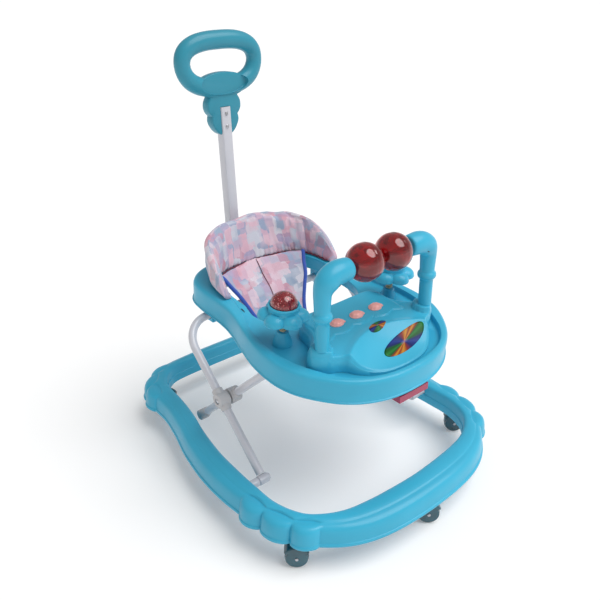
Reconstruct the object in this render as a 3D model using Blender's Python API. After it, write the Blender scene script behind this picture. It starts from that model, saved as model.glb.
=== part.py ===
"""Baby walker: ring base on casters, scissor legs, toy tray, seat and push handle.

Units are metres, +Z up, the front of the walker looks along -Y and the origin is on
the floor under the middle of the base ring.
"""
import math

import bmesh
import bpy
from mathutils import Matrix, Vector

# ---------------------------------------------------------------- driving sizes
GAP = 0.0003             # clearance between touching pieces
LIP_Z = 0.052            # lower lip of the base ring above the floor
RING_TOP_Z = 0.0945      # crown of the base ring

WHEEL_R = 0.021
WHEEL_W = 0.014
CASTER_TRAIL = 0.012     # wheel centre to swivel axis
STEM_R = 0.004
HOOD_CUT_Z = 0.034       # the hood covers the wheel above this height
CHEEK_R = 0.0198         # round cheeks beside the wheel
CASTERS = {              # name: swivel axis x, y and heading of the trailing wheel (deg)
    "front": (0.0, -0.3215, -40.0),
    "front_r": (0.2530, -0.1780, -40.0),
    "front_l": (-0.2315, -0.2585, 140.0),
    "rear_r": (0.180, 0.3115, -40.0),
    "rear_l": (-0.180, 0.3115, -40.0),
}

TUBE_R = 0.008
FOOT = (-0.114, 0.078)   # y, z of the outer legs' lower pivot
LEG_HALF = 0.1656        # pivot to hub, and hub to crossbar
LEG_ANGLE = math.radians(42.6)
OUTER_X = 0.207
INNER_X = 0.180
OUTER_BEND = 0.055
INNER_BEND = 0.036
RIVET_BORE = 0.0034

TRAY_Z = 0.3467          # rim plane of the tray above the floor at y = 0
TRAY_TILT = math.atan(0.1)
SKIRT = 0.045            # depth of the tray's skirt
WALL = 0.0028
RECESS = 0.010           # depth of the tray's trough

POST = (0.128, -0.188)   # x, y of the arch posts
AXLE_Z = 0.487
BALL_R = 0.0338
BALL_WALL = 0.0022
BALL_BORE = 0.0031
FLOWER = (0.134, -0.090)  # x, y of the flower spinners on the tray
FLOWER_H = 0.045
BUTTON_PITCH = 0.048
BUTTON_Y = -0.136

POLE = 0.0228            # square push pole
POLE_WALL = 0.0016
POLE_Y = 0.2445          # centre of the pole at POLE_Z0
POLE_Z0 = 0.340
POLE_LEAN = 0.0383       # backward lean of the pole per unit height
POLE_TOP = 0.673

HUB = (FOOT[0] + LEG_HALF * math.cos(LEG_ANGLE), FOOT[1] + LEG_HALF * math.sin(LEG_ANGLE))
REAR_BAR = (HUB[0] + LEG_HALF * math.cos(LEG_ANGLE), HUB[1] + LEG_HALF * math.sin(LEG_ANGLE))
INNER_FOOT = (REAR_BAR[0], FOOT[1])
FRONT_BAR = (FOOT[0], REAR_BAR[1])

COLOURS = {              # name: colour, roughness, metallic
    "aqua_plastic": ((0.07, 0.47, 0.68), 0.35, 0.0),
    "handle_plastic": ((0.06, 0.37, 0.52), 0.38, 0.0),
    "tube_enamel": ((0.62, 0.61, 0.70), 0.35, 0.1),
    "hub_plastic": ((0.50, 0.49, 0.50), 0.5, 0.0),
    "steel": ((0.55, 0.55, 0.57), 0.3, 1.0),
    "caster_plastic": ((0.01, 0.08, 0.11), 0.3, 0.0),
    "ball_clear": ((0.28, 0.01, 0.02), 0.1, 0.0),
    "glitter_red": ((0.30, 0.01, 0.03), 0.2, 0.0),
    "button_pink": ((0.90, 0.32, 0.32), 0.4, 0.0),
    "latch_red": ((0.33, 0.03, 0.08), 0.4, 0.0),
    "stem_beige": ((0.45, 0.36, 0.22), 0.5, 0.0),
    "patchwork_fabric": ((0.68, 0.50, 0.58), 0.9, 0.0),
}


# ---------------------------------------------------------------- helpers
def clear_scene():
    for obj in list(bpy.data.objects):
        bpy.data.objects.remove(obj, do_unlink=True)


def make_material(name):
    colour, roughness, metallic = COLOURS[name]
    mat = bpy.data.materials.get(name) or bpy.data.materials.new(name)
    mat.use_nodes = True
    shader = mat.node_tree.nodes["Principled BSDF"]
    shader.inputs["Base Color"].default_value = (*colour, 1.0)
    shader.inputs["Roughness"].default_value = roughness
    shader.inputs["Metallic"].default_value = metallic
    return mat


def add_object(name, bm, material, matrix=None):
    """Turn a bmesh into an object with outward faces and smooth round sides."""
    bmesh.ops.remove_doubles(bm, verts=bm.verts, dist=1e-6)
    bmesh.ops.recalc_face_normals(bm, faces=bm.faces)
    mesh = bpy.data.meshes.new(name)
    bm.to_mesh(mesh)
    bm.free()
    mesh.shade_smooth()
    mesh.set_sharp_from_angle(angle=math.radians(35.0))
    obj = bpy.data.objects.new(name, mesh)
    bpy.context.scene.collection.objects.link(obj)
    if material:
        mesh.materials.append(make_material(material))
    if matrix is not None:
        obj.matrix_world = matrix
    return obj


def add_boolean(target, cutter, operation="DIFFERENCE"):
    cutter.hide_render = True
    cutter.display_type = "WIRE"
    mod = target.modifiers.new(cutter.name, "BOOLEAN")
    mod.operation = operation
    mod.solver = "EXACT"
    mod.object = cutter


def skin(bm, stations, closed):
    """Join point rings (stations) into a tube; an open tube gets flat ends."""
    rows = [[bm.verts.new(p) for p in ring] for ring in stations]
    count = len(rows[0])
    last = len(rows) if closed else len(rows) - 1
    for i in range(last):
        a = rows[i]
        b = rows[(i + 1) % len(rows)]
        for k in range(count):
            m = (k + 1) % count
            bm.faces.new((a[k], a[m], b[m], b[k]))
    if not closed:
        bm.faces.new(list(reversed(rows[0])))
        bm.faces.new(rows[-1])


def lathe(bm, profile, segments, matrix=Matrix.Identity(4)):
    """Turn (radius, height) points about Z; a profile that ends on the axis is closed."""
    def ring(r, z):
        if r < 1e-7:
            return [bm.verts.new(matrix @ Vector((0.0, 0.0, z)))]
        return [bm.verts.new(matrix @ Vector((r * math.cos(math.tau * i / segments),
                                              r * math.sin(math.tau * i / segments), z)))
                for i in range(segments)]
    rows = [ring(r, z) for r, z in profile]
    on_axis = len(rows[0]) == 1
    pairs = list(zip(rows, rows[1:])) + ([] if on_axis else [(rows[-1], rows[0])])
    for a, b in pairs:
        for i in range(segments):
            j = (i + 1) % segments
            if len(a) == 1:
                bm.faces.new((a[0], b[i], b[j]))
            elif len(b) == 1:
                bm.faces.new((a[i], b[0], a[j]))
            else:
                bm.faces.new((a[i], b[i], b[j], a[j]))


def turned(name, profile, material, matrix=None, segments=16):
    bm = bmesh.new()
    lathe(bm, profile, segments)
    return add_object(name, bm, material, matrix)


def cylinder_profile(radius, z0, z1):
    return [(0.0, z0), (radius, z0), (radius, z1), (0.0, z1)]


def chamfered(radius, z0, z1, edge):
    return [(0.0, z0), (radius - edge, z0), (radius, z0 + edge), (radius, z1 - edge),
            (radius - edge, z1), (0.0, z1)]


def along_x(x, y, z):
    """Matrix that puts a turned piece's axis along +X with its zero at (x, y, z)."""
    return Matrix.Translation((x, y, z)) @ Matrix.Rotation(math.pi / 2, 4, "Y")


def block(name, size, centre, material, matrix=Matrix.Identity(4), bevel=0.0):
    bm = bmesh.new()
    bmesh.ops.create_cube(bm, size=1.0)
    bmesh.ops.scale(bm, vec=size, verts=bm.verts)
    bmesh.ops.translate(bm, vec=centre, verts=bm.verts)
    if bevel:
        bmesh.ops.bevel(bm, geom=list(bm.edges), offset=bevel, segments=1, affect="EDGES")
    return add_object(name, bm, material, matrix)


def extruded(name, outline, low, high, material, matrix=None):
    """Prism of an (a, b) outline: a is Y, b is Z and the prism runs along X."""
    bm = bmesh.new()
    skin(bm, [[(x, a, b) for a, b in outline] for x in (low, high)], closed=False)
    return add_object(name, bm, material, matrix)


def catmull(p0, p1, p2, p3, f):
    return tuple(0.5 * (2 * b + (c - a) * f + (2 * a - 5 * b + 4 * c - d) * f * f
                        + (3 * b - a - 3 * c + d) * f ** 3)
                 for a, b, c, d in zip(p0, p1, p2, p3))


def half_curve(points, u):
    """Smooth curve through half an outline that is mirrored in X at both ends."""
    n = len(points)
    i = min(int(u), n - 2)
    before = points[i - 1] if i > 0 else (-points[1][0],) + tuple(points[1][1:])
    after = points[i + 2] if i + 2 < n else (-points[n - 2][0],) + tuple(points[n - 2][1:])
    return catmull(before, points[i], points[i + 1], after, u - i)


def open_curve(points, u):
    """Smooth open curve through points; u runs from 0 to len(points) - 1."""
    n = len(points)
    i = min(int(u), n - 2)
    before = points[max(i - 1, 0)]
    after = points[min(i + 2, n - 1)]
    return catmull(before, points[i], points[i + 1], after, u - i)


def around(steps):
    """(side, u) pairs once round a mirrored outline whose half uses the given u values."""
    return [(1, u) for u in steps] + [(-1, u) for u in reversed(steps[1:-1])]


def sweep(bm, path, radii, segments, closed=False):
    """Round tube along path points with a radius for each point."""
    count = len(path)
    points = [Vector(p) for p in path]
    tangents = []
    for i in range(count):
        a = points[(i - 1) % count] if closed or i else points[0]
        b = points[(i + 1) % count] if closed or i < count - 1 else points[-1]
        tangents.append((b - a).normalized())
    side = tangents[0].orthogonal().normalized()
    stations = []
    for p, t, r in zip(points, tangents, radii):
        side = (side - t * side.dot(t)).normalized()
        other = t.cross(side)
        stations.append([p + r * (side * math.cos(math.tau * k / segments)
                                  + other * math.sin(math.tau * k / segments))
                         for k in range(segments)])
    skin(bm, stations, closed)


def arc(centre, start, end, turn, steps):
    """Points of an arc from centre + start to centre + end; both spans are vectors."""
    c, a, b = Vector(centre), Vector(start), Vector(end)
    return [c + a * math.cos(turn * i / steps) + b * math.sin(turn * i / steps)
            for i in range(steps + 1)]


def smoothstep(a, b, x):
    t = min(max((x - a) / (b - a), 0.0), 1.0)
    return t * t * (3.0 - 2.0 * t)


TRAY = Matrix.Translation((0.0, 0.0, TRAY_Z)) @ Matrix.Rotation(TRAY_TILT, 4, "X")

# ---------------------------------------------------------------- base ring
RING_OUTER = [(0.0, -0.353), (0.071, -0.350), (0.130, -0.340), (0.179, -0.320),
              (0.221, -0.287), (0.253, -0.247), (0.272, -0.190), (0.279, -0.138),
              (0.283, -0.080), (0.280, -0.013), (0.268, 0.062), (0.250, 0.130),
              (0.238, 0.190), (0.236, 0.235), (0.231, 0.283), (0.200, 0.322),
              (0.150, 0.345), (0.075, 0.352), (0.0, 0.353)]
RING_INNER = [(0.0, -0.295), (0.065, -0.292), (0.115, -0.287), (0.155, -0.279),
              (0.190, -0.262), (0.217, -0.236), (0.234, -0.190), (0.236, -0.136),
              (0.235, -0.080), (0.231, -0.013), (0.219, 0.062), (0.203, 0.130),
              (0.194, 0.190), (0.190, 0.238), (0.180, 0.277), (0.160, 0.301),
              (0.133, 0.313), (0.070, 0.317), (0.0, 0.318)]
RING_SECTION = [  # share of the width from outside in, height, share of the corner bulge
    (0.0, LIP_Z, 1.0), (0.0, 0.0575, 1.0), (0.05, 0.0595, 1.0), (0.07, 0.075, 1.0),
    (0.14, 0.088, 0.9), (0.26, 0.0932, 0.5), (0.55, RING_TOP_Z, 0.0), (0.90, 0.0932, 0.0),
    (1.0, 0.086, 0.0), (1.0, 0.071, 0.0), (0.955, 0.0695, 0.0), (0.955, LIP_Z, 0.0),
    (0.90, LIP_Z, 0.0), (0.89, 0.0875, 0.0), (0.50, 0.0905, 0.0), (0.20, 0.0855, 0.7),
    (0.11, LIP_Z, 1.0)]
LOBES = ((4.0, 7.0, 0.0115), (13.0, 16.0, 0.0085))   # first u, last u, bulge


def lobe(u):
    for first, last, size in LOBES:
        if first < u < last:
            return size * abs(math.sin(math.pi * (u - first))) ** 0.6
    return 0.0


def ring_station(side, u):
    outer = Vector(half_curve(RING_OUTER, u))
    inner = Vector(half_curve(RING_INNER, u))
    across = inner - outer
    out = -across.normalized() * lobe(u)
    points = []
    for share, z, bulge in RING_SECTION:
        p = outer + across * share + out * bulge
        points.append((side * p.x, p.y, z))
    return points


def ring_steps():
    steps = []
    for i in range(len(RING_OUTER) - 1):
        in_lobe = any(first <= i < last for first, last, _ in LOBES)
        count = 4 if in_lobe else 1
        steps += [i + k / count for k in range(count)]
    return steps + [float(len(RING_OUTER) - 1)]


def build_ring():
    bm = bmesh.new()
    skin(bm, [ring_station(s, u) for s, u in around(ring_steps())], closed=True)
    ring = add_object("base_ring", bm, "aqua_plastic")
    for name, (x, y, _) in CASTERS.items():
        boss = turned("cut_boss_" + name, cylinder_profile(0.0066, 0.0545, 0.0915), None,
                      Matrix.Translation((x, y, 0.0)))
        add_boolean(ring, boss, "UNION")
        bore = turned("cut_bore_" + name, cylinder_profile(STEM_R + 0.00009, 0.040, 0.0800),
                      None, Matrix.Translation((x, y, 0.0)))
        add_boolean(ring, bore)


# ---------------------------------------------------------------- casters
def build_caster(name, x, y, heading):
    swivel = Matrix.Translation((x, y, 0.0)) @ Matrix.Rotation(math.radians(heading), 4, "Z")
    turn = Matrix.Translation((CASTER_TRAIL, 0.0, WHEEL_R)) @ Matrix.Rotation(math.pi / 2, 4, "X")
    hood_r = WHEEL_R + 0.0042
    bm = bmesh.new()
    lathe(bm, chamfered(hood_r, -0.0118, 0.0118, 0.002), 16, turn)
    hood = add_object("caster_hood_" + name, bm, "caster_plastic", swivel)
    stem_bm = bmesh.new()
    lathe(stem_bm, [(0.0, 0.038), (0.0085, 0.038), (0.0085, 0.0512), (STEM_R, 0.0512),
                    (STEM_R, 0.0790), (0.0, 0.0790)], 16)
    add_boolean(hood, block("cut_open_" + name, (0.08, 0.06, 0.04),
                            (CASTER_TRAIL, 0.0, HOOD_CUT_Z - 0.02), None, swivel))
    cheek_bm = bmesh.new()
    lathe(cheek_bm, chamfered(CHEEK_R, -0.0113, 0.0113, 0.0015), 16, turn)
    add_boolean(hood, add_object("cut_cheek_" + name, cheek_bm, None, swivel), "UNION")
    add_boolean(hood, add_object("cut_stem_" + name, stem_bm, None, swivel), "UNION")
    slot_bm = bmesh.new()
    lathe(slot_bm, cylinder_profile(WHEEL_R + 0.0020, -WHEEL_W / 2 - 0.0009,
                                    WHEEL_W / 2 + 0.0009), 14, turn)
    add_boolean(hood, add_object("cut_slot_" + name, slot_bm, None, swivel))
    pin_bm = bmesh.new()
    lathe(pin_bm, cylinder_profile(0.00213, -0.02, 0.02), 8, turn)
    add_boolean(hood, add_object("cut_pin_" + name, pin_bm, None, swivel))
    turned("caster_axle_" + name, cylinder_profile(0.00195, -0.0125, 0.0125), "steel",
           swivel @ turn, 8)
    half = WHEEL_W / 2
    turned("caster_wheel_" + name,
           [(0.00215, -half), (0.0185, -half), (WHEEL_R, -half + 0.0025),
            (WHEEL_R, half - 0.0025), (0.0185, half), (0.00215, half)],
           "caster_plastic", swivel @ turn, 18)


# ---------------------------------------------------------------- scissor legs
def leg_path(x, foot, bar, bend, start):
    """U-shaped path: up one leg, across and down the other, in the leg's slanted plane."""
    foot_v = Vector((0.0, foot[0], foot[1]))
    rise = Vector((0.0, bar[0], bar[1])) - foot_v
    length = rise.length
    rise.normalize()
    points = []
    for side in (1, -1):
        corner = foot_v + rise * (length - bend) + Vector((side * (x - bend), 0.0, 0.0))
        leg = [foot_v + Vector((side * x, 0.0, 0.0)) + rise * start]
        leg += arc(corner, (side * bend, 0.0, 0.0), rise * bend, math.pi / 2, 5)
        points += leg if side == 1 else list(reversed(leg))
    return points


def build_leg_pair(name, x, foot, bar, bend, foot_r):
    bm = bmesh.new()
    path = leg_path(x, foot, bar, bend, foot_r + GAP)
    sweep(bm, path, [TUBE_R] * len(path), 12)
    tube = add_object(name, bm, "tube_enamel")
    for side, tag in ((1, "r"), (-1, "l")):
        hole = turned("cut_" + name + "_" + tag, cylinder_profile(RIVET_BORE, -0.012, 0.012),
                      None, along_x(side * x, *HUB), 16)
        add_boolean(tube, hole)
    return tube


def build_hub(side, tag):
    for name, x, foot in (("hub_outer_", OUTER_X, FOOT), ("hub_inner_", INNER_X, INNER_FOOT)):
        hub = turned(name + tag, chamfered(0.0155, -0.0122, 0.0122, 0.002), "hub_plastic",
                     along_x(side * x, *HUB), 12)
        bore = bmesh.new()
        a = Vector((side * x, foot[0], foot[1]))
        d = (Vector((side * x, HUB[0], HUB[1])) - a).normalized()
        middle = Vector((side * x, HUB[0], HUB[1]))
        sweep(bore, [middle - d * 0.03, middle + d * 0.03], [TUBE_R + 0.0004] * 2, 12)
        add_boolean(hub, add_object("cut_hub_" + name + tag, bore, None))
        rivet_hole = turned("cut_rivet_" + name + tag,
                            cylinder_profile(RIVET_BORE, -0.02, 0.02), None,
                            along_x(side * x, *HUB), 16)
        add_boolean(hub, rivet_hole)
    inner_end = INNER_X - 0.0125
    outer_end = OUTER_X + 0.0125
    profile = [(0.0, inner_end - 0.003), (0.0045, inner_end - 0.0025), (0.0058, inner_end),
               (0.0030, inner_end), (0.0030, outer_end), (0.0058, outer_end),
               (0.0045, outer_end + 0.0025), (0.0, outer_end + 0.003)]
    spin = Matrix.Rotation(math.pi / 2 * side, 4, "Y")
    turned("hub_rivet_" + tag, profile, "steel",
           Matrix.Translation((0.0, HUB[0], HUB[1])) @ spin, 12)


def build_feet(leg, side, tag):
    spin = Matrix.Rotation(math.pi / 2 * side, 4, "Y")
    at_outer = Matrix.Translation((0.0, FOOT[0], FOOT[1])) @ spin
    at_inner = Matrix.Translation((0.0, INNER_FOOT[0], INNER_FOOT[1])) @ spin
    bore = 0.00408
    eye = turned("cut_eye_" + tag,
                 [(0.0, 0.1965), (0.0080, 0.1965), (0.0092, 0.1977), (0.0092, 0.2168),
                  (0.0080, 0.2180), (0.0, 0.2180)], None, at_outer)
    add_boolean(leg, eye, "UNION")
    hole = turned("cut_eye_bore_" + tag, cylinder_profile(bore, 0.19, 0.23), None, at_outer)
    add_boolean(leg, hole)
    turned("foot_pin_" + tag,
           [(0.0, 0.1925), (0.0060, 0.1925), (0.0070, 0.1935), (0.0070, 0.1962),
            (0.0040, 0.1962), (0.0040, 0.2185), (0.0085, 0.2185), (0.0085, 0.2350),
            (0.0, 0.2350)], "steel", at_outer)
    turned("foot_inner_" + tag,
           [(0.0, 0.1690), (0.0095, 0.1690), (0.0110, 0.1705), (0.0110, 0.1885),
            (0.0095, 0.1900), (0.0, 0.1900)], "hub_plastic", at_inner)


def build_legs():
    outer = build_leg_pair("leg_outer", OUTER_X, FOOT, REAR_BAR, OUTER_BEND, 0.0075)
    build_leg_pair("leg_inner", INNER_X, INNER_FOOT, FRONT_BAR, INNER_BEND, 0.0112)
    for side, tag in ((1, "r"), (-1, "l")):
        build_hub(side, tag)
        build_feet(outer, side, tag)


# ---------------------------------------------------------------- tray
TRAY_RIM = [(0.0, -0.290), (0.050, -0.286), (0.095, -0.271), (0.130, -0.248), (0.158, -0.217),
            (0.179, -0.183), (0.190, -0.147), (0.1915, -0.107), (0.187, -0.068),
            (0.177, -0.028), (0.166, 0.010), (0.158, 0.050), (0.1565, 0.090),
            (0.158, 0.130), (0.154, 0.166), (0.139, 0.190), (0.113, 0.208), (0.070, 0.220),
            (0.030, 0.2225), (0.0, 0.2225)]
TRAY_OPENING = [(0.0, -0.070), (0.022, -0.069), (0.044, -0.067), (0.066, -0.062),
                (0.085, -0.054), (0.100, -0.042), (0.111, -0.027), (0.117, -0.010),
                (0.120, 0.008), (0.121, 0.027), (0.121, 0.046), (0.121, 0.066),
                (0.120, 0.088), (0.117, 0.110), (0.108, 0.132), (0.094, 0.148),
                (0.072, 0.160), (0.042, 0.167), (0.018, 0.169), (0.0, 0.170)]
TRAY_BAND = [0.014, 0.014, 0.013, 0.017, 0.025, 0.031, 0.034, 0.034, 0.034, 0.035, 0.035,
             0.030, 0.026, 0.028, 0.032, 0.032, 0.032, 0.032, 0.032, 0.032]


def tray_trough(u):
    return RECESS * (1.0 - smoothstep(7.5, 10.5, u))


def tray_station(side, u):
    outer = Vector(half_curve(TRAY_RIM, u))
    inner = Vector(half_curve(TRAY_OPENING, u))
    width = (inner - outer).length
    across = (inner - outer) / width
    band = half_curve([(0.0, b) for b in TRAY_BAND], u)[1]
    trough = tray_trough(u)
    under = -trough - WALL
    section = [
        (-0.0022, -SKIRT), (-0.0022, -SKIRT + 0.0025), (0.0, -SKIRT + 0.0035),
        (0.0, -0.0085), (0.0018, -0.0030), (0.0055, -0.0004), (0.0085, 0.0),
        (band - 0.002, 0.0), (band, -0.0012 - 0.1 * trough),
        (band + 0.0015, -trough - 0.0004), (band + 0.0035, -trough - 0.0008),
        (width - 0.0025, -trough - 0.0008), (width, -trough - 0.003),
        (width, -0.030), (width - WALL, -0.030), (width - WALL, under - 0.0010),
        (band + 0.0010, under - 0.0008), (band - 0.0030, -0.0040 - 0.6 * trough),
        (0.0065, -WALL - 0.0006), (0.0030, -0.0090), (0.0028, -SKIRT)]
    points = []
    for offset, h in section:
        p = outer + across * offset
        points.append((side * p.x, p.y, h))
    return points


def build_tray():
    bm = bmesh.new()
    last = len(TRAY_RIM) - 1
    skin(bm, [tray_station(s, u) for s, u in around(list(range(last + 1)))], closed=True)
    add_object("tray_shell", bm, "aqua_plastic", TRAY)


# ---------------------------------------------------------------- toy console
CONSOLE_EDGE = [(0.0, -0.268), (0.040, -0.264), (0.068, -0.253), (0.088, -0.237),
                (0.104, -0.216), (0.124, -0.2065), (0.141, -0.1940), (0.1480, -0.179),
                (0.138, -0.161), (0.118, -0.148), (0.104, -0.126), (0.099, -0.100),
                (0.084, -0.080), (0.050, -0.078), (0.0, -0.079)]
CONSOLE_MID = (0.0, -0.172)
BOSS_R = 0.0190
BOSS_TOP_H = 0.0300
DECK_H = 0.0200          # deck of the console above the rim plane
DISH_LOW = -0.0050       # where the dished front meets the rim


def cloud_edge(x):
    """Front edge of the raised button platform: three scallops."""
    return -0.152 - 0.008 * abs(math.cos(math.pi * x / BUTTON_PITCH)) - 0.006 * abs(x) / 0.07


def console_height(x, y):
    """Height of the console's top above the tray's rim plane."""
    crest_y = -0.185 - 0.040 * (x / 0.10) ** 2
    ridge = 0.0040 * smoothstep(0.125, 0.095, abs(x))
    if y > crest_y:
        height = DECK_H + ridge * math.exp(-((y - crest_y) / 0.014) ** 2)
        raised = smoothstep(cloud_edge(x) - 0.002, cloud_edge(x) + 0.001, y)
        height += 0.0030 * raised * smoothstep(0.094, 0.088, abs(x))
    else:
        fall = min((crest_y - y) / max(crest_y + 0.266, 0.004), 1.0)
        height = DISH_LOW + (DECK_H + ridge - DISH_LOW) * (1.0 - fall) ** 1.5
    for side in (1, -1):
        d = math.hypot(x - side * POST[0], y + 0.184)
        height = max(height, -0.010 + (BOSS_TOP_H + 0.010) * smoothstep(0.027, BOSS_R, d))
    return height


def polar_cap(bm, centre, edge, bottom, height, shares):
    """Solid with a flat bottom and a top that follows height(x, y)."""
    count = len(edge)
    rings = []
    for share in shares:
        ring = []
        for px, py in edge:
            x = centre[0] + (px - centre[0]) * share
            y = centre[1] + (py - centre[1]) * share
            ring.append(bm.verts.new((x, y, height(x, y))))
        rings.append(ring)
    base = [bm.verts.new((px, py, bottom)) for px, py in edge]
    rings.append(base)
    top = bm.verts.new((*centre, height(*centre)))
    low = bm.verts.new((*centre, bottom))
    for i in range(count):
        j = (i + 1) % count
        bm.faces.new((top, rings[0][i], rings[0][j]))
        bm.faces.new((low, base[j], base[i]))
        for a, b in zip(rings, rings[1:]):
            bm.faces.new((a[i], b[i], b[j], a[j]))


def console_outline():
    steps = [i / 2 for i in range(2 * (len(CONSOLE_EDGE) - 1) + 1)]
    return [(s * half_curve(CONSOLE_EDGE, u)[0], half_curve(CONSOLE_EDGE, u)[1])
            for s, u in around(steps)]


def build_console():
    bm = bmesh.new()
    shares = (0.20, 0.38, 0.54, 0.68, 0.80, 0.90, 0.985)
    floor = -RECESS - 0.0008 + GAP
    edge = console_outline()
    polar_cap(bm, CONSOLE_MID, edge, floor, console_height, shares + (1.0,))
    console = add_object("toy_console", bm, "aqua_plastic", TRAY)
    hollow = bmesh.new()
    inside = [(x * 0.78, -0.150 + (y + 0.150) * 0.56) for x, y in edge[::2]]
    skin(hollow, [[(x, y, z) for x, y in inside] for z in (floor - 0.01, 0.0050)], closed=False)
    add_boolean(console, add_object("cut_hollow", hollow, None, TRAY))
    for i, x in enumerate((-BUTTON_PITCH, 0.0, BUTTON_PITCH)):
        pocket = turned("cut_pocket_%d" % i, cylinder_profile(0.0154, 0.0135, 0.05), None,
                        TRAY @ Matrix.Translation((x, BUTTON_Y, 0.0)))
        add_boolean(console, pocket)
        turned("button_%d" % (i + 1),
               [(0.0, 0.0180), (0.0150, 0.0180), (0.0150, 0.0252), (0.0132, 0.0280),
                (0.0085, 0.0298), (0.0, 0.0304)], "button_pink",
               TRAY @ Matrix.Translation((x, BUTTON_Y, 0.0)))


# ---------------------------------------------------------------- arch with rattle balls
def ball_arc(radius, steps):
    """Half circle from bore to bore, for a ball turned about its axle."""
    start = math.asin(BALL_BORE / radius)
    span = math.pi - 2 * start
    return [(radius * math.sin(start + span * i / steps),
             -radius * math.cos(start + span * i / steps)) for i in range(steps + 1)]


def build_arch():
    boss_z = (TRAY @ Vector((POST[0], -0.184, BOSS_TOP_H))).z + 0.0020
    bend = 0.034
    for side, tag in ((1, "r"), (-1, "l")):
        x = side * POST[0]
        path = [(x, POST[1], z) for z in (boss_z, 0.409, 0.4125, 0.4215, 0.425, 0.438)]
        radii = [0.0122, 0.0124, 0.0170, 0.0170, 0.0135, 0.0142]
        centre = (x - side * bend, POST[1], AXLE_Z - bend)
        bends = arc(centre, (side * bend, 0.0, 0.0), (0.0, 0.0, bend), math.pi / 2, 5)
        path += bends
        radii += [0.0150, 0.0176, 0.0195, 0.0204, 0.0205, 0.0202]
        for dx, r in ((0.0840, 0.0197), (0.0725, 0.0185), (0.0705, 0.0162)):
            path.append((side * dx, POST[1], AXLE_Z))
            radii.append(r)
        bm = bmesh.new()
        sweep(bm, path, radii, 14)
        add_object("arch_post_" + tag, bm, "aqua_plastic")
        profile = ball_arc(BALL_R, 8) + list(reversed(ball_arc(BALL_R - BALL_WALL, 5)))
        turned("rattle_ball_" + tag, profile, "ball_clear",
               along_x(side * (BALL_R + GAP), POST[1], AXLE_Z), 14)
    turned("rattle_axle", cylinder_profile(0.0030, -0.0701, 0.0701), "steel",
           along_x(0.0, POST[1], AXLE_Z), 12)


# ---------------------------------------------------------------- flower spinners
PETALS = 6
PETAL_R = 0.0195
PETAL_C = 0.0265
CUP_R = 0.0285          # outer radius of the cup round the dome
CUP_H = 0.0255
DOME_R = 0.0242


def petal_angle(x, y):
    pitch = math.tau / PETALS
    angle = math.atan2(y, x) % pitch
    return min(angle, pitch - angle)


def flower_height(x, y):
    rho = math.hypot(x, y)
    psi = petal_angle(x, y)
    d2 = rho * rho + PETAL_C ** 2 - 2 * rho * PETAL_C * math.cos(psi)
    return 0.003 + 0.013 * math.sqrt(max(1.0 - d2 / PETAL_R ** 2, 0.0))


def build_flower(side, tag):
    place = TRAY @ Matrix.Translation((side * FLOWER[0], FLOWER[1], FLOWER_H))
    edge = []
    per = 4
    for i in range(PETALS * per):
        angle = math.tau * i / (PETALS * per)
        psi = petal_angle(math.cos(angle), math.sin(angle))
        r = PETAL_C * math.cos(psi) + math.sqrt(PETAL_R ** 2 - (PETAL_C * math.sin(psi)) ** 2)
        edge.append((r * math.cos(angle), r * math.sin(angle)))
    bm = bmesh.new()
    rim = [0.0246 / math.hypot(*p) for p in edge]

    def at(share, k):
        return edge[k][0] * share, edge[k][1] * share
    count = len(edge)
    outer = [r * CUP_R / 0.0246 for r in rim]
    rows = [[bm.verts.new((*at(rim[k], k), CUP_H)) for k in range(count)],
            [bm.verts.new((*at(outer[k] * 0.97, k), CUP_H)) for k in range(count)],
            [bm.verts.new((*at(outer[k], k), CUP_H - 0.001)) for k in range(count)],
            [bm.verts.new((*at(outer[k] * 0.96, k), 0.0160)) for k in range(count)]]
    for mix in (0.30, 0.60, 0.85, 1.0):
        row = []
        for k in range(count):
            start = outer[k] * 0.96
            share = start + (1.0 - start) * mix
            x, y = at(share, k)
            row.append(bm.verts.new((x, y, min(flower_height(x * 0.999, y * 0.999), 0.0158))))
        rows.append(row)
    rows.append([bm.verts.new((*at(1.0, k), 0.0)) for k in range(count)])
    top = bm.verts.new((0.0, 0.0, CUP_H))
    low = bm.verts.new((0.0, 0.0, 0.0))
    for i in range(count):
        j = (i + 1) % count
        bm.faces.new((top, rows[0][i], rows[0][j]))
        bm.faces.new((low, rows[-1][j], rows[-1][i]))
        for a, b in zip(rows, rows[1:]):
            bm.faces.new((a[i], b[i], b[j], a[j]))
    flower = add_object("flower_petals_" + tag, bm, "aqua_plastic", place)
    bore = turned("cut_flower_" + tag, cylinder_profile(0.0033, -0.004, 0.010), None, place, 16)
    add_boolean(flower, bore)
    low = CUP_H + GAP
    dome = [(0.0, low), (DOME_R, low)]
    dome += [(DOME_R * math.cos(math.pi / 2 * i / 5), low + 0.0225 * math.sin(math.pi / 2 * i / 5))
             for i in range(1, 5)] + [(0.0, low + 0.0225)]
    turned("flower_dome_" + tag, dome, "glitter_red", place)
    floor = -RECESS - 0.0008 + GAP - FLOWER_H
    turned("flower_stem_" + tag,
           [(0.0, floor), (0.0185, floor), (0.0165, floor + 0.009), (0.0115, floor + 0.020),
            (0.0105, floor + 0.026), (0.0062, floor + 0.027), (0.0062, -0.0005), (0.0030, -0.0005),
            (0.0030, 0.0095), (0.0, 0.0095)], "stem_beige", place, 12)


# ---------------------------------------------------------------- below the tray
def tray_under(y):
    """World height of the underside of the tray's trough at y."""
    return TRAY_Z + 0.1 * y - RECESS - WALL - 0.0017


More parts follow.
